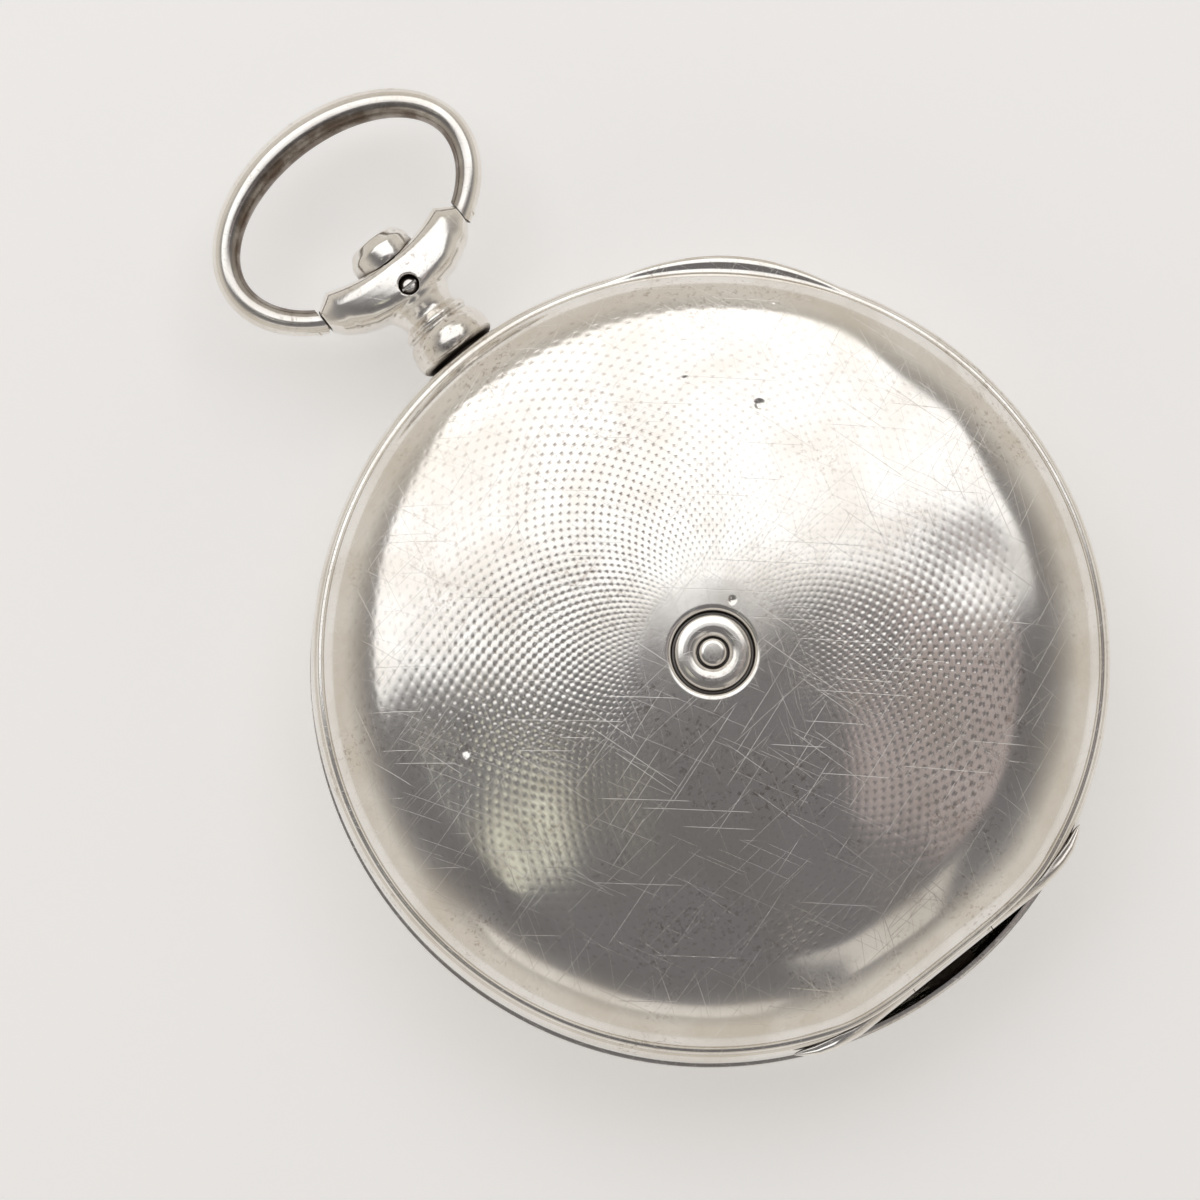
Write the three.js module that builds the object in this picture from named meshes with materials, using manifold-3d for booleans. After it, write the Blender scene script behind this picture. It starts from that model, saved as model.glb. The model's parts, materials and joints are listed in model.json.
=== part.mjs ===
// Silver key-wind hunter pocket watch: case with two sprung covers and a dust cover, and its bar movement.
// Millimetres. The watch lies on its front cover: the origin is the centre of the cover's flat crown,
// +Z points out of the back, +Y points to the pendant at 12 o'clock, and the hinges lie along X at 6 o'clock.
import * as THREE from "three";
import { mergeVertices } from "three/addons/utils/BufferGeometryUtils.js";
import Module from "manifold-3d";

const wasm = await Module();
wasm.setup();

// ---------------------------------------------------------------- driving dimensions
const GAP = 0.05; // clearance between neighbouring pieces
const FRONT_JOINT_Z = 4.05; // plane between front cover and band
const BACK_JOINT_Z = 10.5; // plane between band and back cover
const HINGE_Y = -25.6; // axis of the two cover hinges
const BACK_HINGE_Z = 9.95; // the back's knuckles lie sunk under the edge of the cover
const CUVETTE_HINGE = { y: -23.4, z: 10.35, radius: 0.5, middle: 5, end: 6.5, bore: 0.32, pin: 0.25 };
const BACK_COVER = { rim: 26.3, crown: 20.5, slope: 7.5, height: 5.065, lip: 0.2, wall: 0.45 };
const BACK_BEAD = { radius: 26.7, height: 0.4 }; // raised edge round the foot of the back cover
const FRONT_COVER = { rim: 27.5, roll: 2.2, slope: 8, land: 6, lip: 0.45, wall: 0.5 };
const CUVETTE = { rim: 24.3, roll: 1.8, slope: 3, land: 0, lip: 0.4, wall: 0.35 };
const CUVETTE_Z = 10.12;
const BACK_CHORD_Y = -25.5; // flat side of the back cover, along its hinge
const CUVETTE_CHORD_Y = -22.8;
const KEY_HOLE = 1.7; // radius of the dust cover's two key holes
const BAND_CHORD_Y = -25.25;
const KNUCKLE = { radius: 0.52, middle: 6.7, straight: 9.4, tip: 12.2, tipRadius: 0.2 };
const FRONT_KNUCKLE = { radius: 0.6, middle: 3.7, end: 5.6 };
const PIN_RADIUS = 0.24;
const PIN_BORE = 0.3;
const BACK_PIN_END = 9.5;
const LIP = { angle: 48.4, halfAngle: 19, proud: 0.82, height: 0.55 };

const BOSS = { seat: 2.88, radius: 2.6, hole: 1.15, pip: 1.0, depth: 0.75 };

const STEM_Z = 7.3; // height of the pendant's axis
const YOKE = { end: 5.9, pivotY: 34.75, halfThick: 2.7, taper: 7.0 };
const BOW = { across: 9.4, above: 6.1, below: 6.5, wire: 1.15, rise: 5.15, pivot: 0.55 };
const PUSH_HEAD = { radius: 2.25, bottom: 35.1, top: 37.2 }; // at rest; the button goes in by 0.5
const PUSH_SCREW = { y: 32.9, head: 0.6, shank: 0.34 };

const PLATE = { bottom: 5.25, top: 7.65, radius: 21.4, rim: 21.9, rimTop: 6.2 };
const DIAL = { radius: 20.5, bottom: 4.6, top: 5.2 };
const BRIDGE = { bottom: 9.75, top: 10.75 };
const BARREL = { angle: 125, teeth: 60, pinion: 10, module: 0.258, drum: 7.4, bottom: 6.75, top: 8.45 };
const CENTRE_WHEEL = { teeth: 48, pinion: 6, module: 0.2533, bottom: 8.65, top: 8.9 };
const THIRD_WHEEL = { teeth: 45, pinion: 6, module: 0.2133, bottom: 7.9, top: 8.15 };
const FOURTH_WHEEL = { teeth: 60, pinion: 6, module: 0.14, bottom: 9.2, top: 9.45 };
const ESCAPE_WHEEL = { teeth: 15, tip: 3.1, root: 2.45, bottom: 8.3, top: 8.55 };
const MOTION = { distance: 4, cannon: 8, minute: 24, minutePinion: 6, hour: 24 };
const SECONDS_Y = -10;
const ESCAPE_ANGLE = 170; // seen from the fourth wheel
const PALLET_ANGLE = 150; // seen from the escape wheel
const PALLET_DISTANCE = 3.81;
const BALANCE_AT = [-11, -2.6];
const BALANCE = { radius: 6.4, rim: 0.8, bottom: 9.25, top: 9.85 };

const FINE = 32; // facets of the large turned pieces
const PLAIN = 12;
const COARSE = 6;

// ---------------------------------------------------------------- looks
const SILVER = { color: 0xc9c5bd, roughness: 0.28, metalness: 1 };
const STEEL = { color: 0x9a9da2, roughness: 0.3, metalness: 1 };
const BLUED = { color: 0x24345e, roughness: 0.3, metalness: 1 };
const BRASS = { color: 0xc9a35a, roughness: 0.35, metalness: 1 };
const GILT = { color: 0xd6b26a, roughness: 0.4, metalness: 1 };
const ENAMEL = { color: 0xf3f0e6, roughness: 0.15, metalness: 0 };
const GLASS = { color: 0xe9f1f2, roughness: 0.03, metalness: 0, transparent: true, opacity: 0.3 };

// ---------------------------------------------------------------- solids
const rad = THREE.MathUtils.degToRad;
const polar = (radius, degrees, x = 0, y = 0) => [
  x + radius * Math.cos(rad(degrees)),
  y + radius * Math.sin(rad(degrees)),
];

// A closed geometry as a solid: corners merged, empty triangles dropped, faces turned outward.
function solid(geometry) {
  const bare = geometry.clone();
  bare.deleteAttribute("normal");
  bare.deleteAttribute("uv");
  const welded = mergeVertices(bare, 1e-5);
  const corners = welded.attributes.position;
  const source = welded.index.array;
  const [a, b, c] = [new THREE.Vector3(), new THREE.Vector3(), new THREE.Vector3()];
  const faces = [];
  let volume = 0;
  for (let i = 0; i < source.length; i += 3) {
    const [p, q, r] = [source[i], source[i + 1], source[i + 2]];
    if (p === q || q === r || r === p) continue;
    faces.push([p, q, r]);
    a.fromBufferAttribute(corners, p);
    b.fromBufferAttribute(corners, q);
    c.fromBufferAttribute(corners, r);
    volume += a.dot(b.cross(c));
  }
  const triVerts = Uint32Array.from(faces.flatMap((face) => (volume < 0 ? face.reverse() : face)));
  const vertProperties = Float32Array.from(corners.array);
  return new wasm.Manifold(new wasm.Mesh({ numProp: 3, vertProperties, triVerts }));
}

const union = (...solids) => solids.reduce((sum, next) => sum.add(next));
const cut = (body, ...tools) => tools.reduce((rest, tool) => rest.subtract(tool), body);

// A profile of [radius, height] points turned about +Z at (x, y). A ring's profile closes on itself.
function turned(profile, segments = PLAIN, x = 0, y = 0) {
  const onAxis = profile[0][0] === 0;
  const loop = onAxis ? profile : [...profile, profile[0]];
  const geometry = new THREE.LatheGeometry(loop.map(([r, h]) => new THREE.Vector2(r, h)), segments);
  return solid(geometry.rotateX(Math.PI / 2).translate(x, y, 0));
}

// The same about +Y, on the pendant's axis.
function turnedOnStem(profile, segments = PLAIN) {
  const onAxis = profile[0][0] === 0;
  const loop = onAxis ? profile : [...profile, profile[0]];
  const geometry = new THREE.LatheGeometry(loop.map(([r, h]) => new THREE.Vector2(r, h)), segments);
  return solid(geometry.translate(0, 0, STEM_Z));
}

const disc = (radius, z0, z1, x = 0, y = 0, segments = PLAIN) =>
  turned([[0, z0], [radius, z0], [radius, z1], [0, z1]], segments, x, y);

const ring = (inner, outer, z0, z1, x = 0, y = 0, segments = PLAIN) =>
  turned([[inner, z0], [outer, z0], [outer, z1], [inner, z1]], segments, x, y);

// A round bar along X, tapered if its end radii differ.
function barAlongX(r0, r1, x0, x1, y, z, segments = 16) {
  const geometry = new THREE.CylinderGeometry(r1, r0, x1 - x0, segments);
  return solid(geometry.rotateZ(-Math.PI / 2).translate((x0 + x1) / 2, y, z));
}

function block(x0, x1, y0, y1, z0, z1) {
  const geometry = new THREE.BoxGeometry(x1 - x0, y1 - y0, z1 - z0);
  return solid(geometry.translate((x0 + x1) / 2, (y0 + y1) / 2, (z0 + z1) / 2));
}

function plate(outline, z0, z1) {
  const shape = new THREE.Shape(outline.map(([x, y]) => new THREE.Vector2(x, y)));
  const geometry = new THREE.ExtrudeGeometry(shape, { depth: z1 - z0, bevelEnabled: false });
  return solid(geometry.translate(0, 0, z0));
}

// A bar with round ends between two points, its half-widths r0 and r1.
function arm([x0, y0], [x1, y1], r0, r1, z0, z1, steps = 6) {
  const heading = (Math.atan2(y1 - y0, x1 - x0) * 180) / Math.PI;
  const outline = [];
  for (let i = 0; i <= steps; i++) outline.push(polar(r1, heading - 90 + (180 * i) / steps, x1, y1));
  for (let i = 0; i <= steps; i++) outline.push(polar(r0, heading + 90 + (180 * i) / steps, x0, y0));
  return plate(outline, z0, z1);
}

// A flat strip that follows the case's round wall from one angle to another.
function arcStrip(inner, outer, from, to, z0, z1, steps = 10) {
  const angles = Array.from({ length: steps + 1 }, (_, i) => from + ((to - from) * i) / steps);
  const outline = [
    ...angles.map((angle) => polar(outer, angle)),
    ...angles.reverse().map((angle) => polar(inner, angle)),
  ];
  return plate(outline, z0, z1);
}

const parts = new THREE.Group();
function add(name, body, look) {
  const { vertProperties, triVerts } = body.getMesh();
  const geometry = new THREE.BufferGeometry();
  geometry.setAttribute("position", new THREE.BufferAttribute(vertProperties, 3));
  geometry.setIndex(new THREE.BufferAttribute(triVerts, 1));
  geometry.computeVertexNormals();
  const mesh = new THREE.Mesh(geometry, new THREE.MeshStandardMaterial(look));
  mesh.name = name;
  parts.add(mesh);
}

// ---------------------------------------------------------------- covers
// Section of a domed cover from its rim to its axis, as [radius, height above the rim]: a straight lip, a
// tight roll and a shallow crown that ends in a flat land. inset moves the whole line inward.
function coverLine({ rim, roll, slope, land, lip }, inset, rollSteps = 4, crownSteps = 2) {
  const r = roll - inset;
  const a = rad(slope);
  const centre = rim - roll;
  const crownEdge = centre + r * Math.sin(a);
  const crownRadius = (crownEdge - land) / Math.sin(a);
  const top = coverHeight({ rim, roll, slope, land, lip }) - inset;
  const line = [[centre + r, 0]];
  for (let i = 0; i <= rollSteps; i++) {
    const angle = ((Math.PI / 2 - a) * i) / rollSteps;
    line.push([centre + r * Math.cos(angle), lip + r * Math.sin(angle)]);
  }
  for (let i = 1; i <= crownSteps; i++) {
    const angle = a * (1 - i / crownSteps);
    line.push([land + crownRadius * Math.sin(angle), top - crownRadius * (1 - Math.cos(angle))]);
  }
  if (land > 0) line.push([0, top]);
  line[line.length - 1][0] = 0;
  return line;
}

function coverHeight({ rim, roll, slope, land, lip }) {
  const a = rad(slope);
  return lip + roll * Math.cos(a) + (rim - roll + roll * Math.sin(a) - land) * Math.tan(a / 2);
}

// The back cover's section: an upright lip, part of an ellipse and a shallow crown, tangent where they meet.
function backLine({ rim, crown, slope, height, lip }, inset, shoulderSteps = 5, crownSteps = 2) {
  const tilt = rad(slope);
  const width = rim - crown;
  const fall = height - lip - crown * Math.tan(tilt / 2);
  const sweep = 2 * Math.atan(Math.sqrt(1 - (2 * Math.tan(tilt) * width) / fall));
  const across = width / (1 - Math.cos(sweep));
  const up = fall / Math.sin(sweep);
  const line = [[rim - inset, 0]];
  for (let i = 0; i <= shoulderSteps; i++) {
    const angle = (sweep * i) / shoulderSteps;
    const out = new THREE.Vector2(Math.cos(angle) / across, Math.sin(angle) / up).normalize();
    const [r, h] = [rim - across + across * Math.cos(angle), lip + up * Math.sin(angle)];
    line.push([r - inset * out.x, h - inset * out.y]);
  }
  const crownRadius = crown / Math.sin(tilt) - inset;
  for (let i = 1; i <= crownSteps; i++) {
    const angle = tilt * (1 - i / crownSteps);
    line.push([crownRadius * Math.sin(angle), height - inset - crownRadius * (1 - Math.cos(angle))]);
  }
  line[line.length - 1][0] = 0;
  return line;
}

// A cover's shell. chord, when given, is the y of a flat side that the shell closes with its own wall.
function coverShell(shape, rimZ, up, chord, section = coverLine) {
  const place = ([r, h]) => [r, rimZ + up * h];
  const outer = turned([[0, rimZ], ...section(shape, 0).map(place)], FINE);
  const cavityLine = section(shape, shape.wall);
  const cavity = turned([[0, rimZ - up], [cavityLine[0][0], rimZ - up], ...cavityLine.map(place)], FINE);
  if (chord === undefined) return outer.subtract(cavity);
  const side = (y) => block(-30, 30, y, 30, rimZ - 10, rimZ + 10);
  return outer.intersect(side(chord)).subtract(cavity.intersect(side(chord + shape.wall)));
}

function makeBackCover() {
  const rimZ = BACK_JOINT_Z + 0.04;
  const top = rimZ + BACK_COVER.height;
  const half = KNUCKLE.middle / 2;
  const lipInner = BACK_BEAD.radius - 0.3;
  const outline = [];
  for (let i = -6; i <= 6; i++) {
    const swell = LIP.proud * Math.cos((i / 6) * (Math.PI / 2)) ** 1.2;
    outline.push(polar(BACK_BEAD.radius - 0.05 + swell, LIP.angle + (LIP.halfAngle * i) / 6));
  }
  for (let i = 6; i >= -6; i--) outline.push(polar(lipInner, LIP.angle + (LIP.halfAngle * i) / 6));
  const seatFloor = top - BOSS.depth;
  const beadY = BACK_CHORD_Y + BACK_COVER.rim - BACK_BEAD.radius;
  const flatSided = (radius, y, z0, z1) =>
    disc(radius, z0, z1, 0, 0, FINE).intersect(block(-30, 30, y, 30, z0 - 1, z1 + 1));
  const bead = cut(
    flatSided(BACK_BEAD.radius, beadY, rimZ, rimZ + BACK_BEAD.height),
    flatSided(BACK_COVER.rim - 0.3, BACK_CHORD_Y + 0.3, rimZ - 1, rimZ + 1),
  );
  const body = union(
    coverShell(BACK_COVER, rimZ, 1, BACK_CHORD_Y, backLine),
    bead,
    plate(outline, rimZ, rimZ + LIP.height),
    disc(BOSS.seat + 0.6, seatFloor - 0.55, top - 0.2),
    barAlongX(KNUCKLE.radius, KNUCKLE.radius, -half, half, HINGE_Y, BACK_HINGE_Z),
    block(-half, half, beadY + 0.05, HINGE_Y + 0.3, BACK_HINGE_Z, rimZ + 0.1),
  );
  add("back_cover", cut(
    body,
    disc(BOSS.seat, seatFloor, top + 1, 0, 0, 24),
    disc(0.75, seatFloor - 1, top),
    barAlongX(PIN_BORE, PIN_BORE, -half - 1, half + 1, HINGE_Y, BACK_HINGE_Z),
  ), SILVER);

  const low = seatFloor + GAP;
  add("centre_boss", turned([
    [BOSS.hole, low], [BOSS.radius, low], [BOSS.radius, top - 0.3], [BOSS.radius - 0.3, top - 0.05],
    [BOSS.hole + 0.35, top - 0.05], [BOSS.hole, top - 0.3],
  ], 24), SILVER);
  add("centre_boss_rivet", turned([
    [0, seatFloor - 1.05], [1.3, seatFloor - 1.05], [1.3, seatFloor - 0.6], [0.7, seatFloor - 0.6],
    [0.7, low], [BOSS.pip, low], [BOSS.pip, top - 0.25], [BOSS.pip - 0.3, top - 0.05], [0, top - 0.05],
  ]), SILVER);
}

function makeFrontCover() {
  const rimZ = FRONT_JOINT_Z - 0.05;
  const half = FRONT_KNUCKLE.middle / 2;
  const innerRim = FRONT_COVER.rim - FRONT_COVER.wall;
  const body = union(
    coverShell(FRONT_COVER, rimZ, -1),
    barAlongX(FRONT_KNUCKLE.radius, FRONT_KNUCKLE.radius, -half, half, HINGE_Y, FRONT_JOINT_Z),
    block(-half, half, HINGE_Y - 0.4, HINGE_Y + 0.4, 1.7, FRONT_JOINT_Z - 0.3),
    block(-0.9, 0.9, innerRim - 0.65, innerRim + 0.2, rimZ - 0.7, rimZ - 0.25),
  );
  const bore = barAlongX(PIN_BORE, PIN_BORE, -half - 1, half + 1, HINGE_Y, FRONT_JOINT_Z);
  add("front_cover", body.subtract(bore), SILVER);
}

// Thin dust cover under the back, with a hole over each key square.
function makeCuvette() {
  const { y, z, radius, middle, bore } = CUVETTE_HINGE;
  const half = middle / 2;
  const body = union(
    coverShell(CUVETTE, CUVETTE_Z, 1, CUVETTE_CHORD_Y),
    barAlongX(radius, radius, -half, half, y, z),
    block(-half, half, y, CUVETTE_CHORD_Y + 0.2, z - 0.2, z + 0.45),
  );
  add("cuvette", cut(
    body,
    disc(KEY_HOLE, 11, 14),
    disc(KEY_HOLE, 11, 14, ...barrelAt),
    barAlongX(bore, bore, -half - 1, half + 1, y, z),
  ), SILVER);
}

// ---------------------------------------------------------------- band
function makeCaseMiddle() {
  const band = turned([
    [26.6, 4.1], [27.1, 4.6], [27.25, 7.3], [27.05, 9.8], [26.7, BACK_JOINT_Z - 0.04],
    [25.35, BACK_JOINT_Z - 0.04], [25.35, 10.05], [23.9, 10.05], [23.9, 9.4], [25.0, 9.4], [25.0, 7.3],
    [21.6, 7.3], [21.6, 6.3], [22.1, 6.3], [22.1, 4.95], [25.2, 4.95], [25.2, 4.1],
  ], FINE);
  const hingeSpace = block(-10.2, 10.2, -30, BAND_CHORD_Y, 3.9, 11);
  const middleHalf = KNUCKLE.middle / 2 + GAP;
  const frontHalf = FRONT_KNUCKLE.middle / 2 + GAP;
  const cuvetteHalf = CUVETTE_HINGE.middle / 2 + GAP;
  const room = 0.12; // round each moving knuckle
  const trough = (radius, half, y, z) => barAlongX(radius + room, radius + room, -half, half, y, z);
  let body = cut(
    band,
    hingeSpace,
    trough(KNUCKLE.radius, middleHalf, HINGE_Y, BACK_HINGE_Z),
    trough(FRONT_KNUCKLE.radius, frontHalf, HINGE_Y, FRONT_JOINT_Z),
    trough(CUVETTE_HINGE.radius, cuvetteHalf, CUVETTE_HINGE.y, CUVETTE_HINGE.z),
    block(-1.3, 1.3, 24.2, 26.3, 4.0, 8.5), // way of the lock spring's head
    turnedOnStem([[0, 25], [0.9, 25], [0.9, 26.45], [2.0, 26.45], [2.0, 28], [0, 28]]),
  );
  for (const side of [-1, 1]) {
    const span = (from, to) => (side < 0 ? [-to, -from] : [from, to]);
    const [x0, x1] = span(middleHalf, KNUCKLE.straight);
    const [t0, t1] = span(KNUCKLE.straight, KNUCKLE.tip);
    const [r0, r1] = side < 0 ? [KNUCKLE.tipRadius, KNUCKLE.radius] : [KNUCKLE.radius, KNUCKLE.tipRadius];
    const [f0, f1] = span(frontHalf, FRONT_KNUCKLE.end);
    const [c0, c1] = span(cuvetteHalf, CUVETTE_HINGE.end);
    const { y, z, radius } = CUVETTE_HINGE;
    body = union(
      body,
      barAlongX(KNUCKLE.radius, KNUCKLE.radius, x0, x1, HINGE_Y, BACK_HINGE_Z),
      barAlongX(r0, r1, t0, t1, HINGE_Y, BACK_HINGE_Z),
      block(x0, x1, HINGE_Y, BAND_CHORD_Y + 0.2, 9.5, 10.35),
      barAlongX(FRONT_KNUCKLE.radius, FRONT_KNUCKLE.radius, f0, f1, HINGE_Y, FRONT_JOINT_Z),
      block(f0, f1, HINGE_Y, BAND_CHORD_Y + 0.2, 4.15, 4.6),
      barAlongX(radius, radius, c0, c1, y, z, COARSE),
      block(c0, c1, -24.65, y, z - 0.5, z),
    );
  }
  add("case_middle", cut(
    body,
    barAlongX(PIN_BORE, PIN_BORE, -BACK_PIN_END - 0.1, BACK_PIN_END + 0.1, HINGE_Y, BACK_HINGE_Z),
    barAlongX(PIN_BORE, PIN_BORE, -6, 6, HINGE_Y, FRONT_JOINT_Z),
    barAlongX(CUVETTE_HINGE.bore, CUVETTE_HINGE.bore, -7, 7, CUVETTE_HINGE.y, CUVETTE_HINGE.z, COARSE),
    disc(0.45, 6, 8, ...lockFoot, COARSE),
    disc(0.45, 6, 8, ...liftFoot, COARSE),
  ), SILVER);
}

function makeHingePins() {
  const pin = (radius, end, y, z) => barAlongX(radius, radius, -end, end, y, z, COARSE);
  add("back_hinge_pin", pin(PIN_RADIUS, BACK_PIN_END, HINGE_Y, BACK_HINGE_Z), STEEL);
  add("front_hinge_pin", pin(PIN_RADIUS, FRONT_KNUCKLE.end, HINGE_Y, FRONT_JOINT_Z), STEEL);
  const { y, z, end } = CUVETTE_HINGE;
  add("cuvette_hinge_pin", pin(CUVETTE_HINGE.pin, end - 0.1, y, z), STEEL);
}

function makeBezelAndCrystal() {
  add("bezel", turned([
    [24.9, 4.88], [24.9, 3.6], [24.2, 2.9], [22.6, 2.6], [21.0, 2.8], [21.0, 3.0], [21.7, 3.0], [21.7, 3.8],
    [20.7, 3.8], [20.7, 4.5], [23.4, 4.5], [23.4, 4.88],
  ], FINE), SILVER);
  const edge = { radius: 21.6, outer: 3.08, inner: 3.72 };
  const rise = 1.1; // how far the glass bulges towards the front cover
  const outer = [];
  const inner = [];
  for (let i = 0; i <= 2; i++) {
    const share = i / 2;
    const r = 20.8 * share;
    const bulge = rise * (1 - share ** 2);
    outer.push([r, edge.outer - bulge]);
    inner.unshift([r, edge.inner - bulge]);
  }
  const glass = [...outer, [edge.radius, edge.outer], [edge.radius, edge.inner], ...inner];
  add("crystal", turned(glass, FINE), GLASS);
}

// ---------------------------------------------------------------- pendant, button and bow
function makePendant() {
  const stem = turnedOnStem([
    [0, 26.5], [1.95, 26.5], [1.95, 27.35], [2.6, 27.4], [2.9, 27.85], [2.85, 28.9], [2.5, 29.6],
    [2.2, 29.75], [2.45, 29.95], [2.35, 30.3], [1.95, 30.6], [2.0, 31.1], [2.35, 31.7], [2.45, 32.4],
    [2.3, 33.4], [0, 33.8],
  ]);
  const outline = [];
  const bottom = [[-YOKE.end, 33.9], [-5.3, 33.15], [-4.3, 32.55], [-3.3, 32.15], [-2.2, 31.95]];
  outline.push(...bottom, ...bottom.map(([x, y]) => [-x, y]).reverse(), [YOKE.end, 35.55]);
  for (let i = 0; i <= 8; i++) {
    const x = 4.7 * (1 - i / 4);
    outline.push([x, 35.0 + 1.35 * (x / 4.7) ** 2]);
  }
  outline.push([-YOKE.end, 35.55]);
  const thick = YOKE.halfThick;
  // The yoke is thick round the button and thins towards the bow, like an ellipse seen from the end.
  const waist = turnedOnStem([[0, 31], [YOKE.taper, 31], [YOKE.taper, 38], [0, 38]], 20)
    .translate(0, 0, -STEM_Z).scale([1, 1, thick / YOKE.taper]).translate(0, 0, STEM_Z);
  const yoke = plate(outline, STEM_Z - thick - 1, STEM_Z + thick + 1).intersect(waist);
  const pivotRadius = BOW.pivot + 0.07;
  const pivotHoles = [[-7, -4.8], [4.8, 7]].map(([x0, x1]) =>
    barAlongX(pivotRadius, pivotRadius, x0, x1, YOKE.pivotY, STEM_Z));
  const well = PUSH_HEAD.radius + GAP;
  add("pendant", cut(
    union(stem, yoke),
    turnedOnStem([[0, 26], [0.85, 26], [0.85, 36], [0, 36]]),
    turnedOnStem([[0, PUSH_HEAD.bottom - 0.55], [well, PUSH_HEAD.bottom - 0.55], [well, 39], [0, 39]], 20),
    disc(0.42, STEM_Z, 10, 0, PUSH_SCREW.y, COARSE),
    disc(PUSH_SCREW.head + 0.07, 9.1, 11, 0, PUSH_SCREW.y, 14),
    ...pivotHoles,
  ), SILVER);
}

function makePushPiece() {
  const { radius, bottom, top } = PUSH_HEAD;
  add("push_piece", turnedOnStem([
    [0, 26.05], [0.75, 26.05], [0.75, 32.45], [0.45, 32.45], [0.45, 33.9], [0.75, 33.9], [0.75, bottom],
    [radius, bottom], [radius, top - 0.8], [radius - 0.55, top], [0.6, top], [0, top - 0.35],
  ]), SILVER);
  const head = disc(PUSH_SCREW.head, 9.15, 9.6, 0, PUSH_SCREW.y);
  const shank = disc(PUSH_SCREW.shank, STEM_Z + 0.55, 9.2, 0, PUSH_SCREW.y, COARSE);
  const slot = block(-1, 1, PUSH_SCREW.y - 0.1, PUSH_SCREW.y + 0.1, 9.42, 9.8);
  add("push_piece_screw", union(head, shank).subtract(slot), STEEL);
}

// Oval bow of round wire. Its flat ends turn on two pivots in the yoke.
function makeBow() {
  const reach = Math.PI * 0.79;
  const centreY = YOKE.pivotY + BOW.rise;
  const points = [];
  for (let i = -18; i <= 18; i++) {
    const angle = Math.PI / 2 + (reach * i) / 18;
    const along = Math.sin(angle) > 0 ? BOW.above : BOW.below;
    points.push(new THREE.Vector3(BOW.across * Math.cos(angle), centreY + along * Math.sin(angle), STEM_Z));
  }
  const section = new THREE.Shape();
  section.absarc(0, 0, BOW.wire, 0, Math.PI * 2);
  const wire = new THREE.ExtrudeGeometry(section, {
    steps: 30, curveSegments: 4, bevelEnabled: false, extrudePath: new THREE.CatmullRomCurve3(points),
  });
  const endX = YOKE.end + 0.1;
  const trimmed = solid(wire).subtract(block(-endX, endX, 28, 37, 0, 15));
  const pivots = [[-endX - 0.6, -5.0], [5.0, endX + 0.6]].map(([x0, x1]) =>
    barAlongX(BOW.pivot, BOW.pivot, x0, x1, YOKE.pivotY, STEM_Z));
  add("bow", union(trimmed, ...pivots), SILVER);
}

// ---------------------------------------------------------------- case springs
const lockFoot = polar(23.6, 152);
const liftFoot = polar(23.6, 196);

function makeCaseSprings() {
  const low = 7.35;
  const high = 8.9;
  const footHole = (foot) => disc(0.45, 6, 10, ...foot, COARSE);
  const lockSpring = union(
    arcStrip(23.2, 24.0, 89, 149, low, high),
    disc(1.1, low, low + 0.5, ...lockFoot, 16),
    arm(polar(23.6, 148), lockFoot, 0.4, 0.7, low, low + 0.5),
    block(-0.8, 0.8, 23.3, 25.95, 7.5, 8.35),
    block(-0.8, 0.8, 25.5, 25.95, 2.8, 7.6),
    block(-0.8, 0.8, 25.5, 26.25, 2.8, 3.15),
  );
  add("lock_spring", lockSpring.subtract(footHole(lockFoot)), STEEL);
  const liftSpring = union(
    arcStrip(23.2, 24.0, 199, 262, low, high),
    disc(1.1, low, low + 0.5, ...liftFoot, 16),
    arm(polar(23.6, 200), liftFoot, 0.4, 0.7, low, low + 0.5),
  );
  add("lift_spring", liftSpring.subtract(footHole(liftFoot)), STEEL);
  addScrew("lock_spring_screw", lockFoot, low + 0.5, 0.85, 6.4);
  addScrew("lift_spring_screw", liftFoot, low + 0.5, 0.85, 6.4);
}

// Slotted screw whose head stands on the face at height `seat`.
function addScrew(name, [x, y], seat, headRadius, tip) {
  const base = seat + GAP;
  const shape = union(disc(headRadius, base, base + 0.4, x, y, 12), disc(0.38, tip, base + 0.2, x, y, 6));
  const slot = block(x - headRadius - 1, x + headRadius + 1, y - 0.12, y + 0.12, base + 0.22, base + 1);
  add(name, shape.subtract(slot), BLUED);
}

// ---------------------------------------------------------------- wheels
// Outline of a toothed rim. A tooth stands at `phase` degrees; tip and root are shares of the tooth pitch.
function toothed(teeth, tipRadius, rootRadius, tip, root, phase, x, y) {
  const pitch = 360 / teeth;
  const outline = [];
  for (let i = 0; i < teeth; i++) {
    const middle = phase + i * pitch;
    outline.push(polar(rootRadius, middle - (root * pitch) / 2, x, y));
    if (tip > 0) outline.push(polar(tipRadius, middle - (tip * pitch) / 2, x, y));
    outline.push(polar(tipRadius, middle + (tip * pitch) / 2, x, y));
    outline.push(polar(rootRadius, middle + (root * pitch) / 2, x, y));
  }
  return outline;
}

const wheelOutline = (teeth, module, phase, [x, y]) => {
  const pitchRadius = (teeth * module) / 2;
  return toothed(teeth, pitchRadius + module, pitchRadius - 1.1 * module, 0, 0.5, phase, x, y);
};

const pinionOutline = (leaves, module, phase, [x, y]) => {
  const pitchRadius = (leaves * module) / 2;
  return toothed(leaves, pitchRadius + 0.6 * module, pitchRadius - 1.3 * module, 0.22, 0.3, phase, x, y);
};

// Spoked wheel: toothed rim, round hub and four arms around the arbor's seat.
function spokedWheel(outline, z0, z1, [x, y], rimInner, hub, bore) {
  const windows = cut(
    ring(hub, rimInner, z0 - 1, z1 + 1, x, y, 12),
    block(x - rimInner, x + rimInner, y - 0.3, y + 0.3, z0 - 2, z1 + 2),
    block(x - 0.3, x + 0.3, y - rimInner, y + rimInner, z0 - 2, z1 + 2),
  );
  return cut(plate(outline, z0, z1), windows, disc(bore, z0 - 1, z1 + 1, x, y, COARSE));
}

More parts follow.
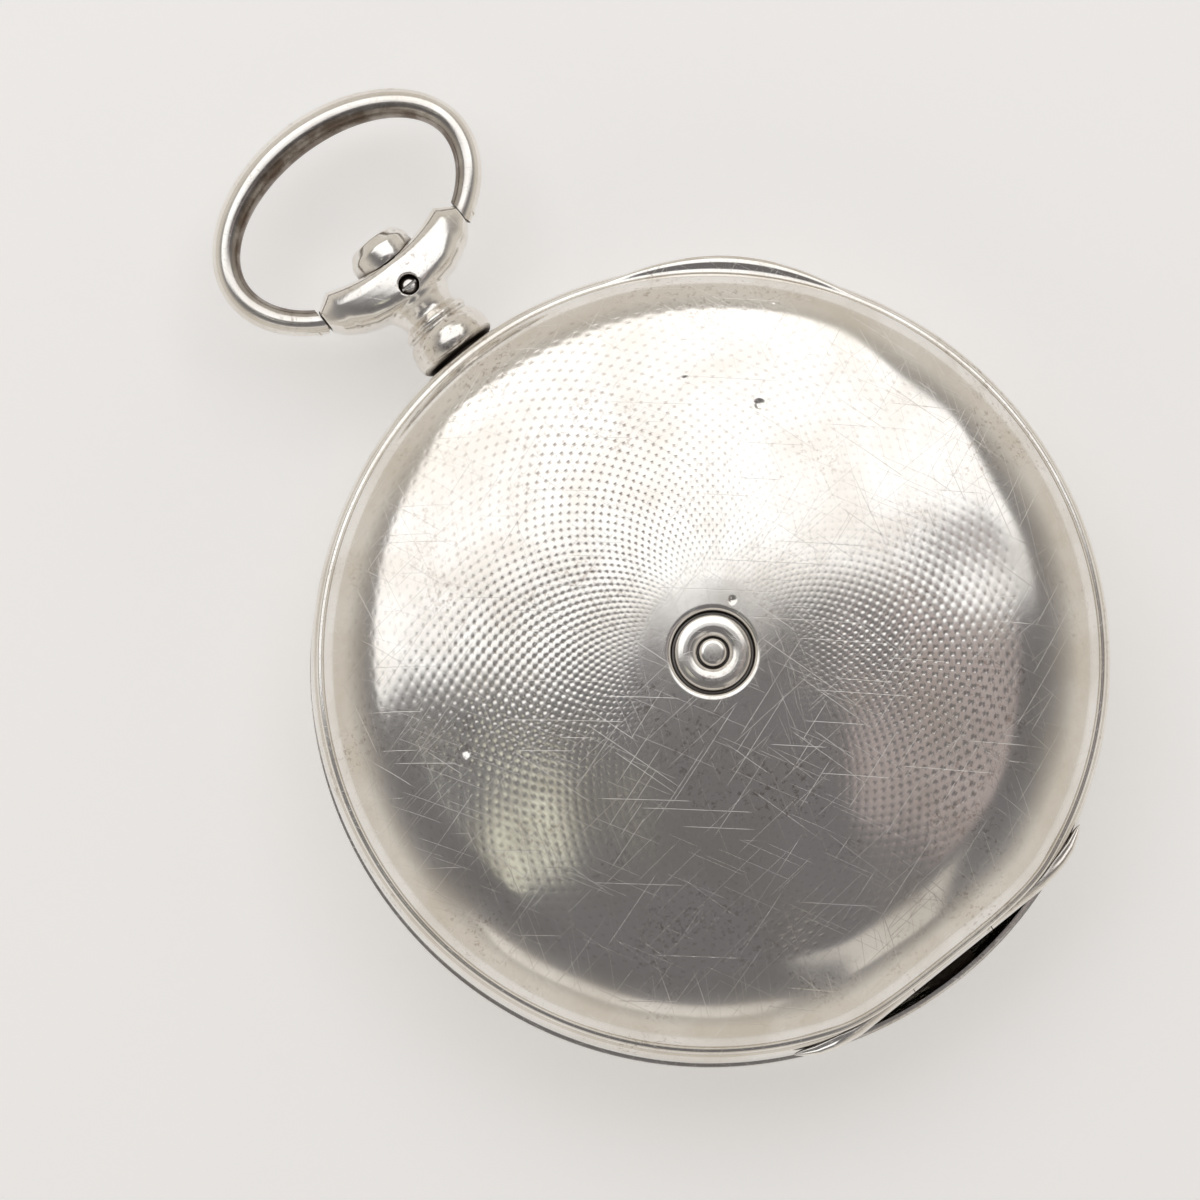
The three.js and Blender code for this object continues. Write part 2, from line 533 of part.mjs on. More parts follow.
const heading = ([x0, y0], [x1, y1]) => (Math.atan2(y1 - y0, x1 - x0) * 180) / Math.PI;
const gapPhase = (teeth, degrees) => degrees + 180 / teeth; // a gap, not a tooth, faces `degrees`

const centreAt = [0, 0];
const barrelAt = polar((BARREL.module * (BARREL.teeth + BARREL.pinion)) / 2, BARREL.angle);
const fourthAt = [0, SECONDS_Y];
const thirdAt = (() => {
  const fromCentre = (CENTRE_WHEEL.module * (CENTRE_WHEEL.teeth + CENTRE_WHEEL.pinion)) / 2;
  const fromFourth = (THIRD_WHEEL.module * (THIRD_WHEEL.teeth + THIRD_WHEEL.pinion)) / 2;
  const y = (fromCentre ** 2 + SECONDS_Y ** 2 - fromFourth ** 2) / (2 * SECONDS_Y);
  return [Math.sqrt(fromCentre ** 2 - y ** 2), y];
})();
const escapeAt = polar((FOURTH_WHEEL.module * (FOURTH_WHEEL.teeth + FOURTH_WHEEL.pinion)) / 2,
  ESCAPE_ANGLE, ...fourthAt);
const palletAt = polar(PALLET_DISTANCE, PALLET_ANGLE, ...escapeAt);
const minuteAt = [MOTION.distance, 0];

// A pinion cut on its arbor, with a thin pivot at each end.
function pinion(leaves, module, phase, at, z0, z1, arbor, low, high) {
  return union(
    plate(pinionOutline(leaves, module, phase, at), z0, z1),
    disc(arbor, low, high, ...at, COARSE),
    disc(0.2, low - 0.35, low + 0.1, ...at, COARSE),
    disc(0.2, high - 0.1, high + 0.4, ...at, COARSE),
  );
}

function makeBarrel() {
  const { teeth, module, drum, bottom, top } = BARREL;
  const [x, y] = barrelAt;
  const toothPhase = heading(barrelAt, centreAt);
  const shell = turned([
    [1.1, bottom], [drum, bottom], [drum, top], [drum - 0.45, top], [drum - 0.45, bottom + 0.3],
    [1.1, bottom + 0.3],
  ], 24, x, y);
  const teethRing = plate(wheelOutline(teeth, module, toothPhase, barrelAt), top - 0.55, top - 0.05)
    .subtract(disc(drum - 0.2, 7, 9, x, y, 24));
  add("barrel", union(shell, teethRing), BRASS);
  add("barrel_cover", ring(1.05, drum - 0.5, top - 0.27, top - 0.02, x, y, 24), BRASS);
  const square = 0.6;
  add("barrel_arbor", union(
    turned([
      [0, 6.42], [0.8, 6.42], [0.8, 6.72], [1.0, 6.72], [1.0, 7.1], [1.9, 7.1], [1.9, 8.1], [0.95, 8.1],
      [0.95, 11.3], [0, 11.3],
    ], PLAIN, x, y),
    block(x - square, x + square, y - square, y + square, 11.2, 12.0),
  ), STEEL);
  addMainspring(x, y, 7.12, 8.08);
  const ratchet = toothed(24, 3.2, 2.75, 0, 0.92, 0, x, y);
  add("ratchet_wheel", plate(ratchet, 10.82, 11.2).subtract(disc(1.0, 10, 12, x, y)), STEEL);
}

// Spiral ribbon between the arbor's hub and the barrel's wall.
function addMainspring(x, y, z0, z1) {
  const turns = 3;
  const stepsPerTurn = 14;
  const [from, to, thick] = [2.2, 6.7, 0.22];
  const inner = [];
  const outer = [];
  for (let i = 0; i <= turns * stepsPerTurn; i++) {
    const share = i / (turns * stepsPerTurn);
    const radius = from + (to - from - thick) * share;
    inner.unshift(polar(radius, 360 * turns * share, x, y));
    outer.push(polar(radius + thick, 360 * turns * share, x, y));
  }
  add("mainspring", plate([...outer, ...inner], z0, z1), STEEL);
}

function makeTrain() {
  const c = CENTRE_WHEEL;
  const centrePhase = gapPhase(BARREL.pinion, BARREL.angle);
  const centrePinion = union(
    plate(pinionOutline(BARREL.pinion, BARREL.module, centrePhase, centreAt), 7.8, 8.55),
    disc(0.5, 3.5, 10.95),
    disc(0.68, 7.75, 9.65, 0, 0, 12),
    block(-0.5, 0.5, -0.5, 0.5, 10.9, 12.0),
  );
  add("centre_pinion", centrePinion, STEEL);
  const centreOutline = wheelOutline(c.teeth, c.module, heading(centreAt, thirdAt), centreAt);
  add("centre_wheel", spokedWheel(centreOutline, c.bottom, c.top, centreAt, 5.0, 1.7, 0.8), BRASS);

  const t = THIRD_WHEEL;
  const thirdPhase = gapPhase(c.pinion, heading(thirdAt, centreAt));
  add("third_pinion", pinion(c.pinion, c.module, thirdPhase, thirdAt, 8.5, 9.05, 0.3, 7.7, 9.65), STEEL);
  const thirdOutline = wheelOutline(t.teeth, t.module, heading(thirdAt, fourthAt), thirdAt);
  add("third_wheel", spokedWheel(thirdOutline, t.bottom, t.top, thirdAt, 3.9, 1.1, 0.35), BRASS);

  const f = FOURTH_WHEEL;
  const fourthPhase = gapPhase(t.pinion, heading(fourthAt, thirdAt));
  const fourthPinion = union(
    pinion(t.pinion, t.module, fourthPhase, fourthAt, 7.78, 8.3, 0.3, 7.7, 9.65),
    disc(0.25, 4.3, 7.8, ...fourthAt, COARSE),
  );
  add("fourth_pinion", fourthPinion, STEEL);
  const fourthOutline = wheelOutline(f.teeth, f.module, heading(fourthAt, escapeAt), fourthAt);
  add("fourth_wheel", spokedWheel(fourthOutline, f.bottom, f.top, fourthAt, 3.4, 1.0, 0.35), BRASS);

  const e = ESCAPE_WHEEL;
  const escapePhase = gapPhase(f.pinion, heading(escapeAt, fourthAt));
  add("escape_pinion", pinion(f.pinion, f.module, escapePhase, escapeAt, 9.05, 9.6, 0.22, 7.7, 9.65), STEEL);
  const escapeOutline = [];
  for (let i = 0; i < e.teeth; i++) {
    const start = (360 / e.teeth) * i;
    escapeOutline.push(polar(e.root, start, ...escapeAt), polar(e.tip, start + 7, ...escapeAt));
    escapeOutline.push(polar(e.tip, start + 10, ...escapeAt), polar(e.root, start + 12, ...escapeAt));
  }
  add("escape_wheel", spokedWheel(escapeOutline, e.bottom, e.top, escapeAt, 2.0, 0.8, 0.28), STEEL);
}

function makeMotionWork() {
  const slow = (2 * MOTION.distance) / (MOTION.cannon + MOTION.minute);
  const fast = (2 * MOTION.distance) / (MOTION.minutePinion + MOTION.hour);
  add("cannon_pinion", union(
    plate(pinionOutline(MOTION.cannon, slow, gapPhase(MOTION.cannon, 0), centreAt), 5.85, 6.25),
    disc(0.9, 3.45, 6.0),
  ).subtract(disc(0.56, 3, 7)), STEEL);
  const minuteWheel = union(
    plate(wheelOutline(MOTION.minute, slow, 180, minuteAt), 5.85, 6.15),
    plate(pinionOutline(MOTION.minutePinion, fast, 180, minuteAt), 5.35, 5.9),
  );
  add("minute_wheel", minuteWheel.subtract(disc(0.33, 5, 7, ...minuteAt, COARSE)), BRASS);
  add("hour_wheel", union(
    plate(wheelOutline(MOTION.hour, fast, 180 / MOTION.hour, centreAt), 5.38, 5.62),
    disc(1.35, 4.0, 5.5),
  ).subtract(disc(1.0, 3, 7)), BRASS);
}

// ---------------------------------------------------------------- escapement
function makeEscapement() {
  const [wx, wy] = BALANCE_AT;
  const forkZ = [ESCAPE_WHEEL.bottom, ESCAPE_WHEEL.top];
  const toBalance = heading(palletAt, BALANCE_AT);
  const tip = polar(3.6, toBalance, ...palletAt);
  const pieces = [arm(palletAt, tip, 0.45, 0.22, ...forkZ), disc(0.3, 7.75, 8.65, ...palletAt, COARSE)];
  for (const side of [-1, 1]) {
    pieces.push(arm(palletAt, polar(3.72, PALLET_ANGLE + side * 29, ...escapeAt), 0.35, 0.22, ...forkZ));
    const root = polar(0.4, toBalance + side * 90, ...tip);
    pieces.push(arm(tip, root, 0.15, 0.15, ...forkZ, 4));
    pieces.push(arm(root, polar(0.5, toBalance, ...root), 0.15, 0.1, ...forkZ, 4));
  }
  pieces.push(disc(0.16, 7.4, 7.9, ...palletAt, COARSE));
  add("pallet_fork", union(...pieces), STEEL);

  const b = BALANCE;
  const rim = ring(b.radius - b.rim, b.radius, b.bottom, b.top, wx, wy, 24);
  const bar = block(wx - b.radius + 0.3, wx + b.radius - 0.3, wy - 0.5, wy + 0.5, b.bottom + 0.1, b.top - 0.2);
  add("balance", cut(union(rim, bar, disc(1.1, b.bottom, b.top, wx, wy)), disc(0.5, 9, 10, wx, wy)), BRASS);
  const pin = polar(1.05, heading(BALANCE_AT, palletAt), wx, wy);
  add("balance_staff", union(
    turned([
      [0, 7.35], [0.15, 7.35], [0.15, 7.75], [0.45, 7.75], [0.45, 8.7], [1.4, 8.7], [1.4, 8.9], [0.45, 8.9],
      [0.45, 10.75], [0.15, 10.75], [0.15, 11.2], [0, 11.2],
    ], 12, wx, wy),
    disc(0.14, 8.35, 8.75, ...pin, 8),
  ), STEEL);
  addHairspring(wx, wy, 10.2, 10.42);
}

function addHairspring(x, y, z0, z1) {
  const turns = 4;
  const stepsPerTurn = 12;
  const [from, to, thick] = [0.75, 3.7, 0.12];
  const inner = [];
  const outer = [];
  for (let i = 0; i <= turns * stepsPerTurn; i++) {
    const share = i / (turns * stepsPerTurn);
    const radius = from + (to - from) * share;
    inner.unshift(polar(radius, 360 * turns * share, x, y));
    outer.push(polar(radius + thick, 360 * turns * share, x, y));
  }
  add("hairspring", plate([...outer, ...inner], z0, z1), BLUED);
}

// ---------------------------------------------------------------- plates, bridges and screws
const barrelFeet = [polar(18.6, 75), polar(18.6, 150)];
const trainFeet = [polar(18.6, -30), polar(18.6, -100)];
const palletFoot = [-10.5, -11.5];
const cockFoot = [-18.9, 2.5];
const caseScrews = [polar(20.4, 25), polar(20.4, 222)];

function makeMainPlate() {
  const body = turned([
    [0, PLATE.bottom], [PLATE.rim, PLATE.bottom], [PLATE.rim, PLATE.rimTop], [PLATE.radius, PLATE.rimTop],
    [PLATE.radius, PLATE.top], [0, PLATE.top],
  ], FINE);
  const screwHoles = [...barrelFeet, ...trainFeet, palletFoot, cockFoot, ...caseScrews];
  const pivots = [thirdAt, escapeAt, palletAt, BALANCE_AT];
  add("main_plate", cut(
    union(
      cut(body, disc(3.75, 5, 6.35), disc(3.5, 5, 6.35, ...minuteAt)),
      disc(0.27, 5.4, 6.5, ...minuteAt, COARSE),
    ),
    disc(BARREL.drum + 0.35, 6.65, 8, ...barrelAt, 24),
    disc(0.9, 6.38, 7, ...barrelAt, 16),
    disc(0.58, 5, 8, 0, 0, 16),
    disc(0.35, 5, 8, ...fourthAt, COARSE),
    ...pivots.map((at) => disc(0.27, 7.2, 8, ...at, COARSE)),
    ...screwHoles.map((at) => disc(0.45, 6.6, 8, ...at, COARSE)),
    ...dialFeet.map((at) => disc(0.5, 5, 6.5, ...at, COARSE)),
  ), GILT);
}

function makeBridges() {
  const { bottom, top } = BRIDGE;
  const standing = (foot, radius, under) => disc(radius, PLATE.top + GAP, under + 0.1, ...foot);
  const shankHole = (foot) => disc(0.45, 7, 12, ...foot, COARSE);
  const pivotHole = (at) => disc(0.27, bottom - 1, bottom + 0.5, ...at, COARSE);

  add("barrel_bridge", cut(
    union(
      arm(barrelAt, centreAt, 4.6, 2.2, bottom, top),
      ...barrelFeet.map((foot) => arm(barrelAt, foot, 3.6, 2.0, bottom, top)),
      ...barrelFeet.map((foot) => standing(foot, 1.8, bottom)),
      disc(0.33, top - 0.1, top + 0.6, ...clickAt, COARSE),
    ),
    disc(1.05, 9, 12, ...barrelAt),
    disc(0.58, 9, 12),
    ...barrelFeet.map(shankHole),
  ), GILT);
  add("train_bridge", cut(
    union(
      arm(thirdAt, trainFeet[0], 1.7, 2.0, bottom, top),
      arm(thirdAt, fourthAt, 1.7, 1.7, bottom, top),
      arm(fourthAt, escapeAt, 1.7, 1.6, bottom, top),
      arm(fourthAt, trainFeet[1], 1.7, 2.0, bottom, top),
      ...trainFeet.map((foot) => standing(foot, 1.8, bottom)),
    ),
    ...[thirdAt, fourthAt, escapeAt].map(pivotHole),
    ...trainFeet.map(shankHole),
  ), GILT);
  add("pallet_bridge", cut(
    union(arm(palletAt, palletFoot, 1.1, 1.4, 8.72, 9.08), standing(palletFoot, 1.3, 8.72)),
    disc(0.35, 8, 10, ...palletAt, COARSE),
    shankHole(palletFoot),
  ), GILT);
  add("balance_cock", cut(
    union(
      arm(BALANCE_AT, cockFoot, 2.3, 2.1, 10.9, 11.55),
      standing(cockFoot, 2.1, 10.9),
      disc(1.1, 11.4, 11.9, ...BALANCE_AT),
    ),
    disc(0.25, 10, 11.6, ...BALANCE_AT, COARSE),
    shankHole(cockFoot),
  ), GILT);
  addRegulator();

  barrelFeet.forEach((foot, i) => addScrew(`barrel_bridge_screw_${i + 1}`, foot, top, 1.0, 6.7));
  trainFeet.forEach((foot, i) => addScrew(`train_bridge_screw_${i + 1}`, foot, top, 1.0, 6.7));
  addScrew("pallet_bridge_screw", palletFoot, 9.08, 0.8, 6.7);
  addScrew("balance_cock_screw", cockFoot, 11.55, 1.1, 6.7);
  caseScrews.forEach((at, i) => addScrew(`case_screw_${i + 1}`, at, PLATE.top, 1.7, 6.7));
}

function addRegulator() {
  const [x, y] = BALANCE_AT;
  const collar = ring(1.18, 1.75, 11.6, 11.78, x, y);
  const pointer = arm(polar(1.5, 60, x, y), polar(4.6, 60, x, y), 0.35, 0.12, 11.6, 11.78, 4);
  add("regulator", union(collar, pointer), STEEL);
}

// Pawl beside the ratchet wheel and the thin spring behind it.
const clickAt = polar(5.0, 60, ...barrelAt);
function makeClick() {
  const z = [10.82, 11.2];
  const nose = polar(3.55, 92, ...barrelAt);
  const click = union(arm(clickAt, nose, 0.8, 0.25, ...z), disc(0.8, ...z, ...clickAt, 16));
  add("click", click.subtract(disc(0.4, 10, 12, ...clickAt, COARSE)), STEEL);
  const root = polar(5.2, 112, ...barrelAt);
  const end = polar(4.45, 84, ...barrelAt);
  const blade = arm(root, end, 0.15, 0.08, 10.8, 11.1, 4);
  add("click_spring", union(disc(0.5, 10.8, 11.1, ...root, COARSE), blade), STEEL);
}

// ---------------------------------------------------------------- dial and hands
const dialFeet = [30, 150, 270].map((angle) => polar(17, angle));

function makeDial() {
  const face = cut(
    disc(DIAL.radius, DIAL.bottom, DIAL.top, 0, 0, FINE),
    disc(1.65, 4, 6),
    disc(0.5, 4, 6, ...fourthAt, COARSE),
  );
  add("dial", union(face, ...dialFeet.map((at) => disc(0.42, DIAL.top - 0.1, 6.4, ...at, COARSE))), ENAMEL);
}

// A hand with a pear-shaped body, pointing to `angle` degrees from +X.
function hand(at, angle, length, width, z0, z1, bossRadius, bore) {
  const middle = polar(length * 0.62, angle, ...at);
  return cut(
    union(
      disc(bossRadius, z0, z1, ...at),
      arm(at, middle, width * 0.4, width * 0.3, z0, z1, 4),
      disc(width, z0, z1, ...middle, COARSE),
      arm(middle, polar(length, angle, ...at), width * 0.4, 0.08, z0, z1, 4),
    ),
    disc(bore, z0 - 1, z1 + 1, ...at),
  );
}

// The dial faces -Z, so 12 o'clock is +Y and the hands turn the other way seen from the back.
function makeHands() {
  add("hour_hand", hand(centreAt, 90 + 305, 11.5, 1.1, 4.03, 4.18, 2.0, 1.4), BLUED);
  add("minute_hand", hand(centreAt, 90 + 60, 17.2, 0.9, 3.55, 3.7, 1.5, 0.94), BLUED);
  const tail = arm(fourthAt, polar(1.8, 240, ...fourthAt), 0.15, 0.25, 4.33, 4.43, 4);
  const needle = arm(fourthAt, polar(4.9, 60, ...fourthAt), 0.16, 0.06, 4.33, 4.43, 4);
  const boss = disc(0.6, 4.33, 4.43, ...fourthAt, COARSE);
  add("seconds_hand", union(boss, tail, needle).subtract(disc(0.29, 4, 5, ...fourthAt, COARSE)), BLUED);
}

makeBackCover();
makeFrontCover();
makeCuvette();
makeCaseMiddle();
makeHingePins();
makeBezelAndCrystal();
makePendant();
makePushPiece();
makeBow();
makeCaseSprings();
makeMainPlate();
makeBarrel();
makeTrain();
makeMotionWork();
makeEscapement();
makeBridges();
makeClick();
makeDial();
makeHands();

export default parts;
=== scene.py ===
"""Worn silver hunter pocket watch, seen from its engine-turned back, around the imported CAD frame.

Lengths in this script are millimetres in the frame's axes: +Z out of the back, +Y to the pendant, hinges
along X at -Y. Meshes are scaled to metres as they are made. The stage and the lights are in metres.
"""

import json
import math

import bmesh
import bpy
import numpy as np
from mathutils import Matrix, Vector


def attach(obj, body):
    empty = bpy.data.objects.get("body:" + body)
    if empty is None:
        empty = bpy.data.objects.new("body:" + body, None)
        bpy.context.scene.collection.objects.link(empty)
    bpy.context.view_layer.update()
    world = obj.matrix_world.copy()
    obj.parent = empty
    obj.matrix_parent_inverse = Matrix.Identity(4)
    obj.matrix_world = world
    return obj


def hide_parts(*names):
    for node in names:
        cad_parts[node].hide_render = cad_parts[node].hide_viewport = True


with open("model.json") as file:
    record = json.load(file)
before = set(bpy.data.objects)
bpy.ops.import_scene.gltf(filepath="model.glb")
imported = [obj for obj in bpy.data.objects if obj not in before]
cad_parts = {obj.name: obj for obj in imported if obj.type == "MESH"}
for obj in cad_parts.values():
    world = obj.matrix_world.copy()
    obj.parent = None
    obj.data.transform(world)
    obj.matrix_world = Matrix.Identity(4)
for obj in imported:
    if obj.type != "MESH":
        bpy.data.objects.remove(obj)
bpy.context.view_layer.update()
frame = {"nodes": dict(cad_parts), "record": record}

MM = 0.001
TAU = 2 * math.pi

# ---------------------------------------------------------------- driving dimensions
BACK_RIM_Z = 10.54
BACK_DOME = {
    "rim": 26.3, "crown": 20.5, "slope": 7.5, "lip": 0.2, "height": 5.065, "chord": 25.5, "wall": 0.45,
}
BACK_BEAD = {"radius": 26.7, "height": 0.4, "chord": 25.9}
HINGE_Y = -25.6
BACK_HINGE_Z = 9.95
BAND_CHORD_Y = -25.25
FRONT_RIM = 27.5
FRONT_JOINT_Z = 4.05
STEM_Z = 7.3
PIVOT_Y = 34.75
KNUCKLE = {"radius": 0.52, "half": 3.35}
FRONT_KNUCKLE = {"radius": 0.6, "half": 1.85, "end": 5.6}
CUVETTE_HINGE = {"y": -23.4, "z": 10.35, "radius": 0.5, "half": 2.5, "end": 6.5, "bore": 0.32}
PIN_BORE = 0.3
YOKE_END = 5.9
SCREW_Y = 32.9
LIP = {"angle": 48.4, "half": 19.0, "proud": 0.82}
BOSS = {"seat": 2.78, "radius": 2.6, "hole": 1.05, "pip": 0.97, "depth": 0.75}
ENGRAVING = {"pitch": 0.378, "waves": 102, "swing": 0.135, "depth": 0.024}
VIEW_TURN = -38.7  # degrees: the camera is turned so that the pendant points up and to the left
PICTURE_WIDTH = 81.6  # across the picture at the height of the case
CAMERA_DISTANCE = 380.0
PICTURE_MIDDLE = (-3.293, 7.935)  # of the picture, in the watch's frame
TILT = (-0.1, -5.6)  # degrees that the camera leans to the picture's right and top


# ---------------------------------------------------------------- meshes
def polar(radius, degrees):
    return radius * math.cos(math.radians(degrees)), radius * math.sin(math.radians(degrees))


def link(mesh, name):
    piece = bpy.data.objects.new(name, mesh)
    bpy.context.scene.collection.objects.link(piece)
    return piece


def finish_mesh(mesh, sharp=38):
    """Welds doubled corners, turns the faces outward and shades smooth up to an angle of `sharp` degrees."""
    work = bmesh.new()
    work.from_mesh(mesh)
    bmesh.ops.remove_doubles(work, verts=work.verts, dist=2e-7)
    bmesh.ops.dissolve_degenerate(work, edges=work.edges, dist=1e-8)
    bmesh.ops.recalc_face_normals(work, faces=work.faces)
    work.to_mesh(mesh)
    work.free()
    mesh.shade_smooth()
    mesh.set_sharp_from_angle(angle=math.radians(sharp))
    mesh.update()


def skin(name, rows, wrap_rows=True, sharp=38):
    """Mesh through a grid of points. Rows run along the profile and columns round the piece."""
    rows = np.asarray(rows, float)
    count, width = rows.shape[:2]
    i, j = np.indices((count if wrap_rows else count - 1, width))
    i, j = i.ravel(), j.ravel()
    following, beside = (i + 1) % count, (j + 1) % width
    here, there = i * width, following * width
    quads = np.stack([here + j, here + beside, there + beside, there + j], -1)
    mesh = bpy.data.meshes.new(name)
    mesh.vertices.add(count * width)
    mesh.vertices.foreach_set("co", (rows.reshape(-1, 3) * MM).ravel())
    mesh.loops.add(quads.size)
    mesh.loops.foreach_set("vertex_index", quads.ravel().astype(np.int32))
    mesh.polygons.add(len(quads))
    mesh.polygons.foreach_set("loop_start", (np.arange(len(quads)) * 4).astype(np.int32))
    mesh.update(calc_edges=True)
    finish_mesh(mesh, sharp)
    return link(mesh, name)


def rounded(points, size, steps=4, closed=True):
    """The same polyline with each corner replaced by a short curve that starts `size` before it."""
    points = [np.asarray(p, float) for p in points]
    count = len(points)
    out = []
    for k, corner in enumerate(points):
        if not closed and k in (0, count - 1):
            out.append(corner)
            continue
        before, after = points[k - 1] - corner, points[(k + 1) % count] - corner
        reach_before, reach_after = np.linalg.norm(before), np.linalg.norm(after)
        start = corner + before / reach_before * min(size, 0.45 * reach_before)
        end = corner + after / reach_after * min(size, 0.45 * reach_after)
        for t in np.linspace(0, 1, steps + 1):
            out.append((1 - t) ** 2 * start + 2 * t * (1 - t) * corner + t**2 * end)
    return out


def turned(name, profile, segments=160, at=(0, 0), fillet=0.08, axis="z"):
    """Profile of (radius, height) points turned about an axis. It closes on itself or runs from 0 to 0."""
    on_axis = profile[0][0] == 0
    line = np.array(rounded(profile, fillet, 3, closed=not on_axis))
    angles = np.arange(segments) / segments * TAU
    radius, height = line[:, :1], np.repeat(line[:, 1:], segments, 1)
    across, along = radius * np.cos(angles), radius * np.sin(angles)
    if axis == "z":
        rows = np.stack([across + at[0], along + at[1], height], -1)
    elif axis == "y":
        rows = np.stack([across + at[0], height, STEM_Z + along], -1)
    else:
        rows = np.stack([height, across + at[0], along + at[1]], -1)
    return skin(name, rows, wrap_rows=not on_axis)


def disc(name, radius, z0, z1, at=(0, 0), segments=64, fillet=0.05):
    return turned(name, [(0, z0), (radius, z0), (radius, z1), (0, z1)], segments, at, fillet)


def ring(name, inner, outer, z0, z1, at=(0, 0), segments=96, fillet=0.05):
    return turned(name, [(inner, z0), (outer, z0), (outer, z1), (inner, z1)], segments, at, fillet)


def plate(name, outline, z0, z1, bevel=0.06):
    """Flat plate with a given outline and softened edges."""
    work = bmesh.new()
    face = work.faces.new([work.verts.new((x * MM, y * MM, z0 * MM)) for x, y in outline])
    lifted = bmesh.ops.extrude_face_region(work, geom=[face])
    moved = [v for v in lifted["geom"] if isinstance(v, bmesh.types.BMVert)]
    bmesh.ops.translate(work, verts=moved, vec=(0, 0, (z1 - z0) * MM))
    mesh = bpy.data.meshes.new(name)
    work.to_mesh(mesh)
    work.free()
    finish_mesh(mesh)
    piece = link(mesh, name)
    if bevel:
        soften(piece, bevel)
    return piece


def block(name, x0, x1, y0, y1, z0, z1, bevel=0.05):
    return plate(name, [(x0, y0), (x1, y0), (x1, y1), (x0, y1)], z0, z1, bevel)


def soften(piece, width):
    """Bevel on every edge that bends by more than 35 degrees."""
    bevel = piece.modifiers.new("edges", "BEVEL")
    bevel.width = width * MM
    bevel.segments = 2
    bevel.limit_method = "ANGLE"
    bevel.angle_limit = math.radians(35)
    bevel.use_clamp_overlap = True
    return piece


def settle(piece):
    """Applies the modifiers of a piece to its mesh."""
    made = bpy.data.meshes.new_from_object(piece.evaluated_get(bpy.context.evaluated_depsgraph_get()))
    made.name = piece.name
    piece.modifiers.clear()
    piece.data = made
    return piece


def combine(piece, joined=(), removed=(), fillet=0.0):
    """Adds and cuts other solids, which are used up."""
    for others, operation in ((joined, "UNION"), (removed, "DIFFERENCE")):
        for other in others:
            change = piece.modifiers.new(operation, "BOOLEAN")
            change.operation = operation
            change.solver = "EXACT"
            change.object = other
    settle(piece)
    for other in (*joined, *removed):
        bpy.data.objects.remove(other)
    finish_mesh(piece.data, 30)
    if fillet:
        soften(piece, fillet)
    return piece


def cast(piece, voxel, smoothing):
    """Melts a joined piece into one soft, worn casting."""
    remesh = piece.modifiers.new("melt", "REMESH")
    remesh.mode = "VOXEL"
    remesh.voxel_size = voxel * MM
    smooth = piece.modifiers.new("wear", "SMOOTH")
    smooth.factor = 0.5
    smooth.iterations = smoothing
    settle(piece)
    piece.data.shade_smooth()
    return piece


def place(piece, body, material, slot, *nodes):
    """Gives a piece its material and its body, and hides the CAD nodes that it stands for."""
    piece.data.materials.clear()
    piece.data.materials.append(material)
    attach(piece, body)
    if nodes:
        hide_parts(*nodes)
    return piece


# ---------------------------------------------------------------- node shorthand
def add(tree, kind, inputs=None, **settings):
    """New shader node. Sockets given as inputs are linked, and plain values are set."""
    made = tree.nodes.new(kind)
    for key, value in settings.items():
        setattr(made, key, value)
    for key, value in (inputs or {}).items():
        if isinstance(value, bpy.types.NodeSocket):
            tree.links.new(value, made.inputs[key])
        else:
            made.inputs[key].default_value = value
    return made


def calc(tree, operation, a, b=0.0, c=0.0):
    return add(tree, "ShaderNodeMath", {0: a, 1: b, 2: c}, operation=operation).outputs[0]


def ramp(tree, value, low, high, start=0.0, end=1.0):
    """Smooth step from `start` at low to `end` at high."""
    return add(
        tree,
        "ShaderNodeMapRange",
        {"Value": value, "From Min": low, "From Max": high, "To Min": start, "To Max": end},
        interpolation_type="SMOOTHSTEP",
    ).outputs["Result"]


def mix(tree, share, first, second):
    made = add(tree, "ShaderNodeMix", data_type="RGBA")
    for key, value in (("Factor", share), ("A", first), ("B", second)):
        socket = made.inputs[key]
        if isinstance(value, bpy.types.NodeSocket):
            tree.links.new(value, socket)
        elif socket.type == "RGBA":
            socket.default_value = (*value, 1)
        else:
            socket.default_value = value
    return made.outputs["Result"]


def noise(tree, position, scale, detail=3.0, roughness=0.55, distortion=0.0):
    look = {"Scale": scale, "Detail": detail, "Roughness": roughness, "Distortion": distortion}
    return add(tree, "ShaderNodeTexNoise", {"Vector": position, **look}).outputs["Fac"]


def dot(tree, position, direction):
    return add(
        tree, "ShaderNodeVectorMath", {0: position, 1: direction}, operation="DOT_PRODUCT"
    ).outputs["Value"]


def turned_about(tree, position, degrees, stretch):
    """Position turned about Z and squeezed along its own X, for marks that run one way."""
    return add(
        tree,
        "ShaderNodeMapping",
        {"Vector": position, "Rotation": (0, 0, math.radians(degrees)), "Scale": (stretch, 1, 1)},
        vector_type="POINT",
    ).outputs[0]


def start_material(name):
    """New material, its tree, its surface shader, and the position on the piece in millimetres."""
    material = bpy.data.materials.new(name)
    material.use_nodes = True
    tree = material.node_tree
    tree.nodes.clear()
    shader = add(tree, "ShaderNodeBsdfPrincipled")
    output = add(tree, "ShaderNodeOutputMaterial")
    tree.links.new(shader.outputs[0], output.inputs["Surface"])
    coords = add(tree, "ShaderNodeTexCoord").outputs["Object"]
    position = add(tree, "ShaderNodeVectorMath", {0: coords, "Scale": 1 / MM}, operation="SCALE").outputs[0]
    return material, tree, shader, position


